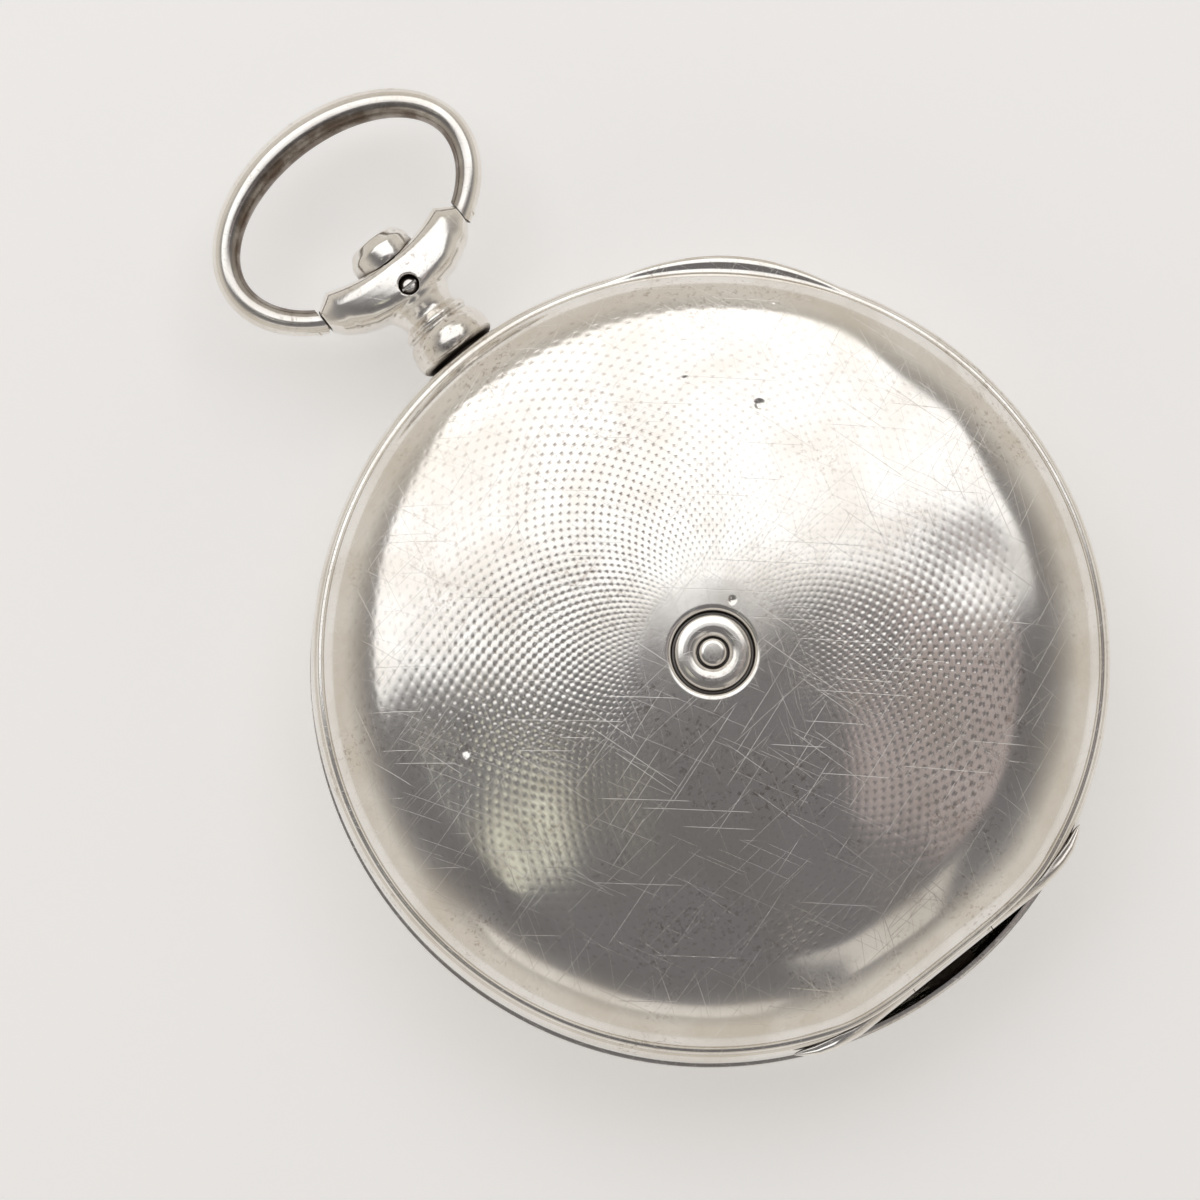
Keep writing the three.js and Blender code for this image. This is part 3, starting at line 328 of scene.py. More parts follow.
def scratches(tree, position, seed, headings=(8, 64, 96, 128), spacing=0.55):
    """Straight scratches of random length along a few headings, as a mask. One may lie in each lane."""
    total = None
    for k, degrees in enumerate(headings):
        heading = math.radians(degrees + 11 * seed)
        step = 1 / (spacing * (1 + 0.23 * k))
        over = (-math.sin(heading) * step, math.cos(heading) * step, 0.3 * step)
        across = dot(tree, position, over)
        lane = calc(tree, "FLOOR", across)
        draw = {"W": calc(tree, "ADD", lane, 31.7 * k + seed)}
        chance = add(tree, "ShaderNodeTexWhiteNoise", draw, noise_dimensions="1D").outputs["Value"]
        middle = calc(tree, "MULTIPLY_ADD", chance, 0.7, 0.15)
        off = calc(tree, "SUBTRACT", calc(tree, "SUBTRACT", across, lane), middle)
        off = calc(tree, "ABSOLUTE", off)
        line = ramp(tree, off, 0.004, 0.026, 1.0, 0.0)
        spot = (math.cos(heading) * 0.1, math.sin(heading) * 0.1, 0.03)
        along = calc(tree, "MULTIPLY_ADD", lane, 17.31, dot(tree, position, spot))
        look = {"W": along, "Scale": 1.0, "Detail": 1.0}
        present = add(tree, "ShaderNodeTexNoise", look, noise_dimensions="1D").outputs["Fac"]
        length = ramp(tree, present, 0.56, 0.66)
        line = calc(tree, "MULTIPLY", line, length)
        total = line if total is None else calc(tree, "MAXIMUM", total, line)
    return total


def silver(name, tarnish_and_shade, marks, roughness, seed, engraved=False):
    """Old polished silver: scratches, cloudy wear, brown tarnish in specks, and painted shade with tarnish in
    recesses.

    Engraved silver has engine turning where the mesh says so. Other silver is painted darker where the mesh
    says so, a painted reflection of dark surroundings.
    """
    material, tree, shader, position = start_material(name)
    cloud = noise(tree, position, 0.16, 4.0, 0.6)
    fine = noise(tree, position, 2.6, 4.0, 0.65)
    lines = scratches(tree, position, seed)
    hair = scratches(tree, position, seed + 3, (20, 75, 140), 0.26)
    # Ambient occlusion: the mask for the painted shade in recesses, which also stands for tarnish there.
    hidden = add(tree, "ShaderNodeAmbientOcclusion", {"Distance": 0.9 * MM}, samples=8, only_local=False)
    occlusion_shade = ramp(tree, hidden.outputs["AO"], 0.25, 0.85, 1.0, 0.0)
    zone = ramp(tree, noise(tree, position, 0.13, 3.0, 0.6), 0.45, 0.68)
    speck = calc(tree, "MULTIPLY", ramp(tree, noise(tree, position, 2.3, 5.0, 0.8), 0.53, 0.62), zone)
    colour = mix(tree, ramp(tree, cloud, 0.35, 0.7), (0.89, 0.865, 0.825), (0.79, 0.75, 0.69))
    colour = mix(tree, calc(tree, "MULTIPLY", speck, 0.75 * tarnish_and_shade), colour, (0.34, 0.27, 0.22))
    colour = mix(tree, calc(tree, "MULTIPLY", hair, 0.3 * marks), colour, (0.45, 0.36, 0.3))
    rough = ramp(tree, cloud, 0.3, 0.75, roughness * 0.8, roughness * 1.3)
    rough = calc(tree, "MULTIPLY_ADD", fine, 0.06, rough)
    rough = calc(tree, "MULTIPLY_ADD", lines, 0.1 * marks, rough)
    height = calc(tree, "MULTIPLY_ADD", lines, -0.5 * marks, calc(tree, "MULTIPLY", fine, 0.12))
    height = calc(tree, "MULTIPLY_ADD", hair, -0.3 * marks, height)
    if engraved:
        depth = add(tree, "ShaderNodeAttribute", attribute_name="engraved").outputs["Fac"]
        cut = calc(tree, "MULTIPLY", engine_turning(tree, position), depth)
        height = calc(tree, "MULTIPLY_ADD", cut, -1.3, height)
        uneven = ramp(tree, noise(tree, position, 0.6, 3.0), 0.3, 0.7, 0.4, 0.9)
        stained = calc(tree, "MULTIPLY", cut, uneven)
        colour = mix(tree, stained, colour, (0.24, 0.18, 0.14))
        rough = calc(tree, "MULTIPLY_ADD", cut, 0.15, rough)
    else:
        # Painted dark reflection: the colour is darkened to dark brown where the mesh's attribute says so.
        painted_dark_side = add(tree, "ShaderNodeAttribute", attribute_name="painted_dark_side").outputs["Fac"]
        uneven = ramp(tree, noise(tree, position, 0.7, 4.0), 0.3, 0.6, 0.7, 1.0)
        painted_dark_side = calc(tree, "MULTIPLY", painted_dark_side, uneven)
        colour = mix(tree, painted_dark_side, colour, (0.16, 0.125, 0.10))
    # Painted shade: the colour goes near black where the occlusion mask says shade falls, mixed with tarnish
    # in the recesses.
    colour = mix(tree, calc(tree, "MULTIPLY", occlusion_shade, 0.95 * tarnish_and_shade), colour, (0.07, 0.05, 0.04))
    rough = calc(tree, "MULTIPLY_ADD", occlusion_shade, 0.3 * tarnish_and_shade, rough)
    bump = add(tree, "ShaderNodeBump", {"Height": height, "Distance": 0.006 * MM, "Strength": 1.0})
    shader.inputs["Metallic"].default_value = 1.0
    tree.links.new(colour, shader.inputs["Base Color"])
    tree.links.new(rough, shader.inputs["Roughness"])
    tree.links.new(bump.outputs[0], shader.inputs["Normal"])
    return material


def engine_turning(tree, position):
    """Barleycorn cut as a mask: wavy rings, each half a wave behind the last, deepest where they meet."""
    parts = add(tree, "ShaderNodeSeparateXYZ", {0: position})
    x, y = parts.outputs[0], parts.outputs[1]
    radius = calc(tree, "SQRT", calc(tree, "ADD", calc(tree, "MULTIPLY", x, x), calc(tree, "MULTIPLY", y, y)))
    angle = calc(tree, "ARCTAN2", y, x)
    wave = calc(tree, "COSINE", calc(tree, "MULTIPLY", angle, ENGRAVING["waves"]))
    swing = calc(tree, "MULTIPLY", wave, ENGRAVING["swing"])
    turn = math.pi / (2 * ENGRAVING["pitch"])
    inward = calc(tree, "MULTIPLY", calc(tree, "SUBTRACT", radius, swing), turn)
    outward = calc(tree, "MULTIPLY", calc(tree, "ADD", radius, swing), turn)
    even = calc(tree, "ABSOLUTE", calc(tree, "SINE", inward))
    odd = calc(tree, "ABSOLUTE", calc(tree, "COSINE", outward))
    return ramp(tree, calc(tree, "ADD", even, odd), 0.25, 1.0, 1.0, 0.0)


def metal(name, colour, other, roughness=0.3, grain=3.0, bumpiness=0.15, brushed=None, seed=1):
    """Plain metal with cloudy colour, fine grain and light marks."""
    material, tree, shader, position = start_material(name)
    where = turned_about(tree, position, brushed, 0.04) if brushed is not None else position
    cloud = noise(tree, position, 0.35, 4.0, 0.6)
    fine = noise(tree, where, grain, 4.0, 0.7)
    lines = scratches(tree, position, seed)
    shade = mix(tree, ramp(tree, cloud, 0.3, 0.72), colour, other)
    rough = ramp(tree, fine, 0.3, 0.7, roughness * 0.75, roughness * 1.3)
    rough = calc(tree, "ADD", rough, calc(tree, "MULTIPLY", lines, 0.1))
    height = calc(tree, "SUBTRACT", fine, calc(tree, "MULTIPLY", lines, 0.8))
    bump = add(tree, "ShaderNodeBump", {"Height": height, "Distance": bumpiness * 0.03 * MM, "Strength": 1.0})
    shader.inputs["Metallic"].default_value = 1.0
    tree.links.new(shade, shader.inputs["Base Color"])
    tree.links.new(rough, shader.inputs["Roughness"])
    tree.links.new(bump.outputs[0], shader.inputs["Normal"])
    return material


def enamel():
    """White vitreous enamel, faintly clouded, with a few hairlines."""
    material, tree, shader, position = start_material("white_enamel")
    cloud = noise(tree, position, 0.12, 4.0, 0.6)
    veins = calc(tree, "ABSOLUTE", calc(tree, "SUBTRACT", noise(tree, position, 0.11, 2.0, 0.5, 1.2), 0.5))
    hairline = calc(tree, "MULTIPLY", ramp(tree, veins, 0.0, 0.0016, 1.0, 0.0), ramp(tree, cloud, 0.52, 0.6))
    shade = mix(tree, ramp(tree, cloud, 0.3, 0.7), (0.87, 0.86, 0.82), (0.82, 0.80, 0.74))
    shade = mix(tree, calc(tree, "MULTIPLY", hairline, 0.55), shade, (0.25, 0.2, 0.16))
    bump = add(tree, "ShaderNodeBump", {"Height": cloud, "Distance": 0.02 * MM, "Strength": 0.5})
    tree.links.new(shade, shader.inputs["Base Color"])
    tree.links.new(ramp(tree, cloud, 0.2, 0.8, 0.1, 0.2), shader.inputs["Roughness"])
    tree.links.new(bump.outputs[0], shader.inputs["Normal"])
    shader.inputs["Coat Weight"].default_value = 0.5
    shader.inputs["Coat Roughness"].default_value = 0.05
    return material


def glass():
    """Clear watch glass with faint wear marks."""
    material, tree, shader, position = start_material("watch_glass")
    lines = scratches(tree, position, 4)
    tree.links.new(calc(tree, "MULTIPLY_ADD", lines, 0.2, 0.02), shader.inputs["Roughness"])
    shader.inputs["Base Color"].default_value = (0.97, 0.99, 0.98, 1)
    shader.inputs["Transmission Weight"].default_value = 1.0
    shader.inputs["IOR"].default_value = 1.46
    return material


SILVER_BACK = silver("worn_silver_engraved", tarnish_and_shade=0.75, marks=1.0, roughness=0.115, seed=1, engraved=True)
SILVER_BAND = silver("worn_silver_band", tarnish_and_shade=0.9, marks=0.8, roughness=0.16, seed=2)
SILVER_CAST = silver("worn_silver_cast", tarnish_and_shade=1.0, marks=0.6, roughness=0.15, seed=3)
SILVER_INSIDE = silver("worn_silver_inside", tarnish_and_shade=0.5, marks=0.5, roughness=0.24, seed=4)
STEEL = metal("polished_steel", (0.62, 0.63, 0.65), (0.50, 0.51, 0.53), 0.22, 4.0, 0.1, brushed=35)
BLUED = metal("blued_steel", (0.035, 0.06, 0.22), (0.06, 0.045, 0.17), 0.2, 4.0, 0.08, seed=2)
BRASS = metal("wheel_brass", (0.80, 0.60, 0.28), (0.68, 0.48, 0.20), 0.28, 3.0, 0.15, seed=3)
GILT = metal("frosted_gilt", (0.86, 0.64, 0.30), (0.72, 0.50, 0.22), 0.42, 7.0, 0.6, seed=4)
ENAMEL = enamel()
GLASS = glass()


# ---------------------------------------------------------------- back cover
# The dome: a shallow crown that meets a wide elliptical shoulder, with its rim upright, over a raised bead.
def shoulder(dome):
    """Centre radius and half axes of the ellipse that carries the dome from its crown down to its rim."""
    slope = math.tan(math.radians(dome["slope"]))
    width = dome["rim"] - dome["crown"]
    fall = dome["height"] - dome["lip"] - dome["crown"] * math.tan(math.radians(dome["slope"]) / 2)
    half = math.sqrt(1 - 2 * slope * width / fall)  # tangent of half the angle where crown and shoulder meet
    angle = 2 * math.atan(half)
    across, up = width / (1 - math.cos(angle)), fall / math.sin(angle)
    return dome["rim"] - across, across, up, angle


def dome_line(dome, inset, crown_radii, steps):
    """Points (radius, height over the rim) from the dome's middle to its rim, moved inward by `inset`."""
    centre, across, up, angle = shoulder(dome)
    crown_radius = dome["crown"] / math.sin(math.radians(dome["slope"]))
    line = []
    for radius in crown_radii:
        tilt = math.asin(radius / crown_radius)
        height = dome["height"] - crown_radius * (1 - math.cos(tilt))
        line.append((radius - inset * math.sin(tilt), height - inset * math.cos(tilt)))
    for k in range(1, steps + 1):
        turn = angle * (1 - k / steps)
        out = np.array((math.cos(turn) / across, math.sin(turn) / up))
        out /= np.linalg.norm(out)
        point = np.array((centre + across * math.cos(turn), dome["lip"] + up * math.sin(turn)))
        line.append(tuple(point - inset * out))
    return line


def soft_min(values, limit, blend=0.35):
    """The smaller of two lengths, rounded where they meet."""
    gap = np.clip(0.5 + 0.5 * (limit - values) / blend, 0, 1)
    return limit * (1 - gap) + values * gap - blend * gap * (1 - gap)


def gentle_dents(x, y):
    """Years of knocks: shallow hollows and swells of a worn cover, as (x, y, reach, depth)."""
    hollows = (
        (-14.5, -13.0, 4.5, 0.10), (9.0, -15.5, 5.5, 0.09), (17.5, -6.5, 4.0, 0.12), (15.0, 9.0, 5.0, 0.08),
        (-17.0, 4.5, 4.0, 0.07), (-4.0, -18.5, 4.0, 0.08), (1.5, 17.0, 6.0, -0.05), (-8.5, 9.5, 5.0, 0.04),
        (6.5, -6.0, 4.5, 0.05), (20.5, 2.5, 2.6, 0.08), (-20.5, -5.0, 3.0, -0.06),
    )
    total = np.zeros_like(x)
    for cx, cy, reach, depth in hollows:
        total -= depth * np.exp(-((x - cx) ** 2 + (y - cy) ** 2) / reach**2)
    total += 0.018 * np.sin(0.42 * x + 0.9) * np.sin(0.37 * y - 0.4) + 0.01 * np.sin(0.9 * x - 0.55 * y)
    return total


# Corrosion pits, as (x, y, reach, depth).
PITS = ((13.0, 11.1, 0.34, 0.10), (10.2, 15.6, 0.2, 0.07), (3.2, 1.9, 0.2, 0.06), (-17.0, 5.2, 0.25, 0.07),
        (20.3, 14.9, 0.16, 0.05), (18.1, 15.9, 0.2, 0.05))


def small_pits(x, y):
    total = np.zeros_like(x)
    for cx, cy, reach, depth in PITS:
        total -= depth * np.exp(-(((x - cx) ** 2 + (y - cy) ** 2) / reach**2) ** 2)
    return total


# Where the engine turning is still sharp, as (right, up, reach, reach up, share) in the picture's directions.
KEPT = ((-13.0, -1.0, 6.0, 7.0, 0.9), (15.5, -3.0, 4.5, 8.0, 0.9), (-9.0, 14.0, 8.0, 8.0, 0.8),
        (0.0, -19.5, 8.0, 2.6, 0.55), (-4.0, 8.0, 6.0, 5.0, 0.4), (10.5, 1.0, 3.5, 3.0, 0.6),
        (6.0, 17.0, 9.0, 5.0, 0.25))


def engraving(x, y, wear=1.0):
    """Share of the engine turning that is left at a point, and how deep its cut is there, from 0 to 1."""
    radius, angle = np.hypot(x, y), np.arctan2(y, x)
    turn = math.pi / (2 * ENGRAVING["pitch"])
    swing = ENGRAVING["swing"] * np.cos(ENGRAVING["waves"] * angle)
    meeting = np.abs(np.sin((radius - swing) * turn)) + np.abs(np.cos((radius + swing) * turn))
    cut = 1 - np.clip((meeting - 0.25) / 1.05, 0, 1)
    edge = 22.9 + 2.4 * np.cos(angle - math.radians(110))
    left = np.clip((edge - radius) / 0.5, 0, 1) * np.clip((radius - 4.6) / 3.0, 0, 1)
    heading = math.radians(VIEW_TURN)
    right, up = x * math.cos(heading) + y * math.sin(heading), y * math.cos(heading) - x * math.sin(heading)
    kept = np.full_like(radius, 0.1)
    for u, v, reach, reach_up, share in KEPT:
        kept += share * np.exp(-(((right - u) / reach) ** 2 + ((up - v) / reach_up) ** 2))
    kept = np.clip(kept, 0, 1)
    return left * (1 - wear * (1 - kept)), cut


def make_back_cover():
    dome, bead = BACK_DOME, BACK_BEAD
    top = BACK_RIM_Z + dome["height"]
    floor = top - BOSS["depth"]
    seat = BOSS["seat"]
    fine = np.arange(seat + 0.42, dome["crown"], ENGRAVING["pitch"] / 5)
    outer = [(r, BACK_RIM_Z + h) for r, h in dome_line(dome, 0, fine, 72) if h > bead["height"] + 0.1]
    inner_line = dome_line(dome, dome["wall"], np.linspace(3.6, dome["crown"], 24), 26)
    inner = [(r, BACK_RIM_Z + max(h, 0.0)) for r, h in inner_line][::-1]
    lead = [
        (0.75, floor - 0.5), (0.75, floor), (seat - 0.06, floor), (seat, floor + 0.08), (seat, top - 0.34),
        (seat + 0.02, top - 0.26), (seat + 0.05, top - 0.19), (seat + 0.1, top - 0.12),
        (seat + 0.17, top - 0.07), (seat + 0.26, top - 0.04),
    ]
    tail = [(inner[-1][0] - 0.1, floor - 0.42), (3.2, floor - 0.5)]
    foot = dome["rim"] + 0.03
    edge = [(foot, 0.47), (foot + 0.05, 0.44), (foot + 0.12, 0.435), (foot + 0.19, 0.43), (foot + 0.25, 0.41),
            (foot + 0.3, 0.37), (foot + 0.34, 0.31), (bead["radius"], 0.24), (bead["radius"], 0.1),
            (bead["radius"] - 0.05, 0.02), (bead["radius"] - 0.14, 0.0), (dome["rim"], 0.0)]
    edge = [(r, BACK_RIM_Z + h) for r, h in edge]
    line = np.array(lead + outer + edge + inner + tail)
    rows_before_edge = len(lead) + len(outer)
    rows_to_edge_end = rows_before_edge + len(edge)

    columns = ENGRAVING["waves"] * 6
    angles = (np.arange(columns) + 0.25) / columns * TAU
    radius = np.repeat(line[:, :1], columns, 1)
    height = np.repeat(line[:, 1:], columns, 1)
    row = np.arange(len(line))[:, None]
    outside = (row >= len(lead)) & (row < rows_before_edge)
    on_edge = (row >= rows_before_edge) & (row < rows_to_edge_end)

    # The side along the hinge is drawn in, all the way at the edge and less and less towards the crown.
    toward = np.maximum(-np.sin(angles), 1e-3)
    reach_out = soft_min(np.full(columns, dome["rim"]), dome["chord"] / toward, 0.9)
    drawn = np.where(-np.sin(angles) > 0, reach_out / dome["rim"], 1.0)
    share = np.clip((radius - 22.0) / (dome["rim"] - 22.0), 0, 1) ** 1.6
    flat_radius = radius * (1 - share * (1 - drawn[None, :]))

    # The thumb lip grows out of the bead, with a raised flat.
    off = np.abs((np.degrees(angles) - LIP["angle"] + 180) % 360 - 180) / LIP["half"]
    swell = np.cos(np.clip(off, 0, 1) * math.pi / 2)[None, :] ** 1.2
    reach = np.where(on_edge, np.clip((radius - foot) / (bead["radius"] - foot), 0, 1), 0)
    raised = 0.13 * swell * np.clip((reach - 0.3) / 0.3, 0, 1) * (height - BACK_RIM_Z > 0.2)
    radius = flat_radius + reach * LIP["proud"] * swell
    height = height + raised

    x, y = radius * np.cos(angles), radius * np.sin(angles)
    upper = (height - BACK_RIM_Z > 0.9) & (row >= 5) & (row < rows_before_edge)
    settled = np.clip((height - BACK_RIM_Z - 0.9) / 1.5, 0, 1) * np.clip((radius - 3.1) / 2.0, 0, 1)
    height = height + np.where(upper | (row >= rows_to_edge_end), gentle_dents(x, y) * settled, 0)
    left, cut = engraving(x, y)
    height = height - ENGRAVING["depth"] * left * outside * cut
    height = height + np.where(outside, small_pits(x, y), 0)
    piece = skin("back_cover_shell", np.stack([x, y, height], -1), sharp=50)
    store_engraved(piece, 1, 1.0)
    place(piece, "back", SILVER_BACK, "silver", "back_cover")


def corners(piece, field):
    """A vector for each corner of the mesh: its place (co) in metres, or its normal."""
    values = np.zeros(len(piece.data.vertices) * 3)
    piece.data.vertices.foreach_get(field, values)
    return values.reshape(-1, 3)


def store_engraved(piece, facing, wear):
    """Writes how much engine turning is left at each corner, on the side that faces up (1) or down (-1)."""
    spots = corners(piece, "co") / MM
    left, _ = engraving(spots[:, 0], spots[:, 1], wear)
    store(piece, "engraved", left * (corners(piece, "normal")[:, 2] * facing > 0.3))


def store(piece, name, values):
    """Writes a number for each corner of the mesh, for the material to read."""
    layer = piece.data.attributes.new(name, "FLOAT", "POINT")
    layer.data.foreach_set("value", np.asarray(values, np.float32))


def make_boss():
    """Wide domed ring sunk in its seat, round a shallow pip that is riveted through the cover."""
    top = BACK_RIM_Z + BACK_DOME["height"]
    low = top - BOSS["depth"] + 0.05
    hole, rim = BOSS["hole"], BOSS["radius"]
    crest = [
        (rim, -0.5), (rim, -0.34), (rim - 0.05, -0.23), (rim - 0.16, -0.14), (rim - 0.35, -0.075),
        (2.0, -0.035), (1.75, -0.03), (1.55, -0.045), (1.38, -0.085), (1.24, -0.15), (1.12, -0.25),
        (hole, -0.36),
    ]
    profile = [(hole, low), (rim, low)] + [(r, top + h) for r, h in crest]
    place(turned("boss_ring", profile, 144, fillet=0.04), "back", SILVER_CAST, "silver", "centre_boss")
    pip = BOSS["pip"]
    crest = [(pip, -0.34), (pip - 0.05, -0.2), (pip - 0.17, -0.11), (pip - 0.35, -0.065), (0, -0.06)]
    profile = [(0, low - 1.1), (1.3, low - 1.1), (1.3, low - 0.65), (0.7, low - 0.65), (0.7, low), (pip, low)]
    profile += [(r, top + h) for r, h in crest]
    place(turned("boss_rivet", profile, 96, fillet=0.04), "back", SILVER_CAST, "silver", "centre_boss_rivet")


def rod(name, radius, x0, x1, y, z, segments=32, fillet=0.01):
    """Solid round rod along X."""
    return turned(name, [(0, x0), (radius, x0), (radius, x1), (0, x1)], segments, (y, z), fillet, "x")


def hinge_tube(name, x0, x1, y, z, radius, bore):
    """Hinge knuckle along X, with its bore."""
    profile = [(bore, x0), (radius, x0), (radius, x1), (bore, x1)]
    return turned(name, profile, 48, (y, z), fillet=0.05, axis="x")


def make_back_hinge():
    half = KNUCKLE["half"]
    radius = KNUCKLE["radius"]
    tube = hinge_tube("back_cover_knuckle", -half, half, HINGE_Y, BACK_HINGE_Z, radius, PIN_BORE)
    low, high = BACK_HINGE_Z + 0.35, BACK_RIM_Z + 0.06
    web = block("web", -half, half, -BACK_BEAD["chord"] + 0.06, HINGE_Y + 0.3, low, high)
    place(combine(tube, [web], (), 0.03), "back", SILVER_BAND, "silver")


# ---------------------------------------------------------------- band
def make_case_middle():
    outer = [(25.2, 4.1), (26.62, 4.1), (26.98, 4.4), (27.16, 4.9)]
    for k in range(9):
        share = k / 8
        outer.append((27.16 + 0.09 * math.sin(math.pi * share), 5.3 + 3.7 * share))
    outer += [
        (27.1, 9.25), (26.95, 9.5), (26.85, 9.62), (26.95, 9.78), (27.02, 9.98), (26.92, 10.24), (26.7, 10.4),
        (26.6, 10.46), (25.35, 10.46), (25.35, 10.05), (23.9, 10.05), (23.9, 9.4), (25.0, 9.4), (25.0, 7.3),
        (21.6, 7.3), (21.6, 6.3), (22.1, 6.3), (22.1, 4.95), (25.2, 4.95),
    ]
    line = np.array(rounded(outer, 0.09, 3))
    columns = 512
    angles = np.arange(columns) / columns * TAU
    radius = np.repeat(line[:, :1], columns, 1)
    height = np.repeat(line[:, 1:], columns, 1)
    x, y = radius * np.cos(angles), radius * np.sin(angles)
    # The hinge side is filed flat.
    flat = (np.abs(x) < 10.25) & (y < BAND_CHORD_Y)
    y = np.where(flat, BAND_CHORD_Y, y)
    band = skin("case_band", np.stack([x, y, height], -1))
    # Cuts: way of the lock spring's head, the pendant's stepped hole, and a room for each cover's knuckle.
    pendant_hole = [(0, 22), (0.9, 22), (0.9, 26.45), (2.0, 26.45), (2.0, 28), (0, 28)]
    small = CUVETTE_HINGE
    ways = [
        block("way", -1.3, 1.3, 24.2, 26.3, 4.0, 8.5, 0),
        turned("hole", pendant_hole, 48, fillet=0.01, axis="y"),
        rod("room", KNUCKLE["radius"] + 0.12, -3.4, 3.4, HINGE_Y, BACK_HINGE_Z, 48),
        rod("room_front", FRONT_KNUCKLE["radius"] + 0.12, -1.9, 1.9, HINGE_Y, FRONT_JOINT_Z),
        rod("room_cuvette", small["radius"] + 0.12, -2.55, 2.55, small["y"], small["z"]),
    ]
    place(combine(band, (), ways), "case", SILVER_BAND, "silver", "case_middle")
    for side, word in ((-1, "left"), (1, "right")):
        make_bolster(side, word)


def make_bolster(side, word):
    """Outer hinge knuckle that runs out in a long pointed leaf on the band."""
    reach = np.concatenate([np.linspace(3.4, 8.0, 12), np.linspace(8.1, 12.42, 48)])
    bend = np.interp(reach, (3.4, 8.0, 9.0, 10.0, 11.0, 11.8, 12.42), (0, 0, 0.15, 0.33, 0.62, 1.0, 1.32))
    size_at = (3.4, 9.0, 10.0, 11.0, 11.8, 12.2, 12.42)
    size = np.interp(reach, size_at, (KNUCKLE["radius"], KNUCKLE["radius"], 0.5, 0.42, 0.27, 0.13, 0.02))
    around = np.arange(40) / 40 * TAU

    def hoop(x, y, radius):
        # A leaf with a shallow groove along its upper face, towards its tip.
        across = np.exp(-(((around - math.pi / 2) / 0.42) ** 2))
        groove = 0.12 * np.clip((x - 8.3) / 1.5, 0, 1) * across * radius / 0.5
        return [(side * x, y + (radius - g) * math.cos(a), BACK_HINGE_Z + (radius - g) * math.sin(a))
                for a, g in zip(around, groove)]

    rows = [hoop(x, HINGE_Y + b, r) for x, b, r in zip(reach, bend, size)]
    bore = [hoop(3.4, HINGE_Y, PIN_BORE), hoop(8.9, HINGE_Y, PIN_BORE)]
    end = [[(side * 8.9, HINGE_Y, BACK_HINGE_Z)] * 40]
    tip = [[(side * 12.43, HINGE_Y + 1.33, BACK_HINGE_Z)] * 40]
    tube = skin(f"hinge_bolster_{word}", end + bore[::-1] + rows + tip, wrap_rows=False)
    x0, x1 = sorted((side * 3.42, side * 9.4))
    web = block("web", x0, x1, HINGE_Y + 0.2, -24.9, 9.5, 10.3)
    place(combine(tube, [web]), "case", SILVER_BAND, "silver")
    f0, f1 = sorted((side * 1.9, side * FRONT_KNUCKLE["end"]))
    radius = FRONT_KNUCKLE["radius"]
    low = hinge_tube(f"front_bolster_{word}", f0, f1, HINGE_Y, FRONT_JOINT_Z, radius, PIN_BORE)
    web = block("web", f0, f1, HINGE_Y + 0.35, -24.9, 4.15, 4.6)
    place(combine(low, [web]), "case", SILVER_BAND, "silver")
    hinge = CUVETTE_HINGE
    c0, c1 = sorted((side * 2.55, side * hinge["end"]))
    name = f"cuvette_bolster_{word}"
    small = hinge_tube(name, c0, c1, hinge["y"], hinge["z"], hinge["radius"], hinge["bore"])
    web = block("web", c0, c1, -24.65, -23.7, 9.85, 10.3)
    place(combine(small, [web]), "case", SILVER_INSIDE, "silver")


# ---------------------------------------------------------------- front cover and cuvette
FRONT_WEAR = 0.6  # share of the back's wear that the front cover's engine turning has


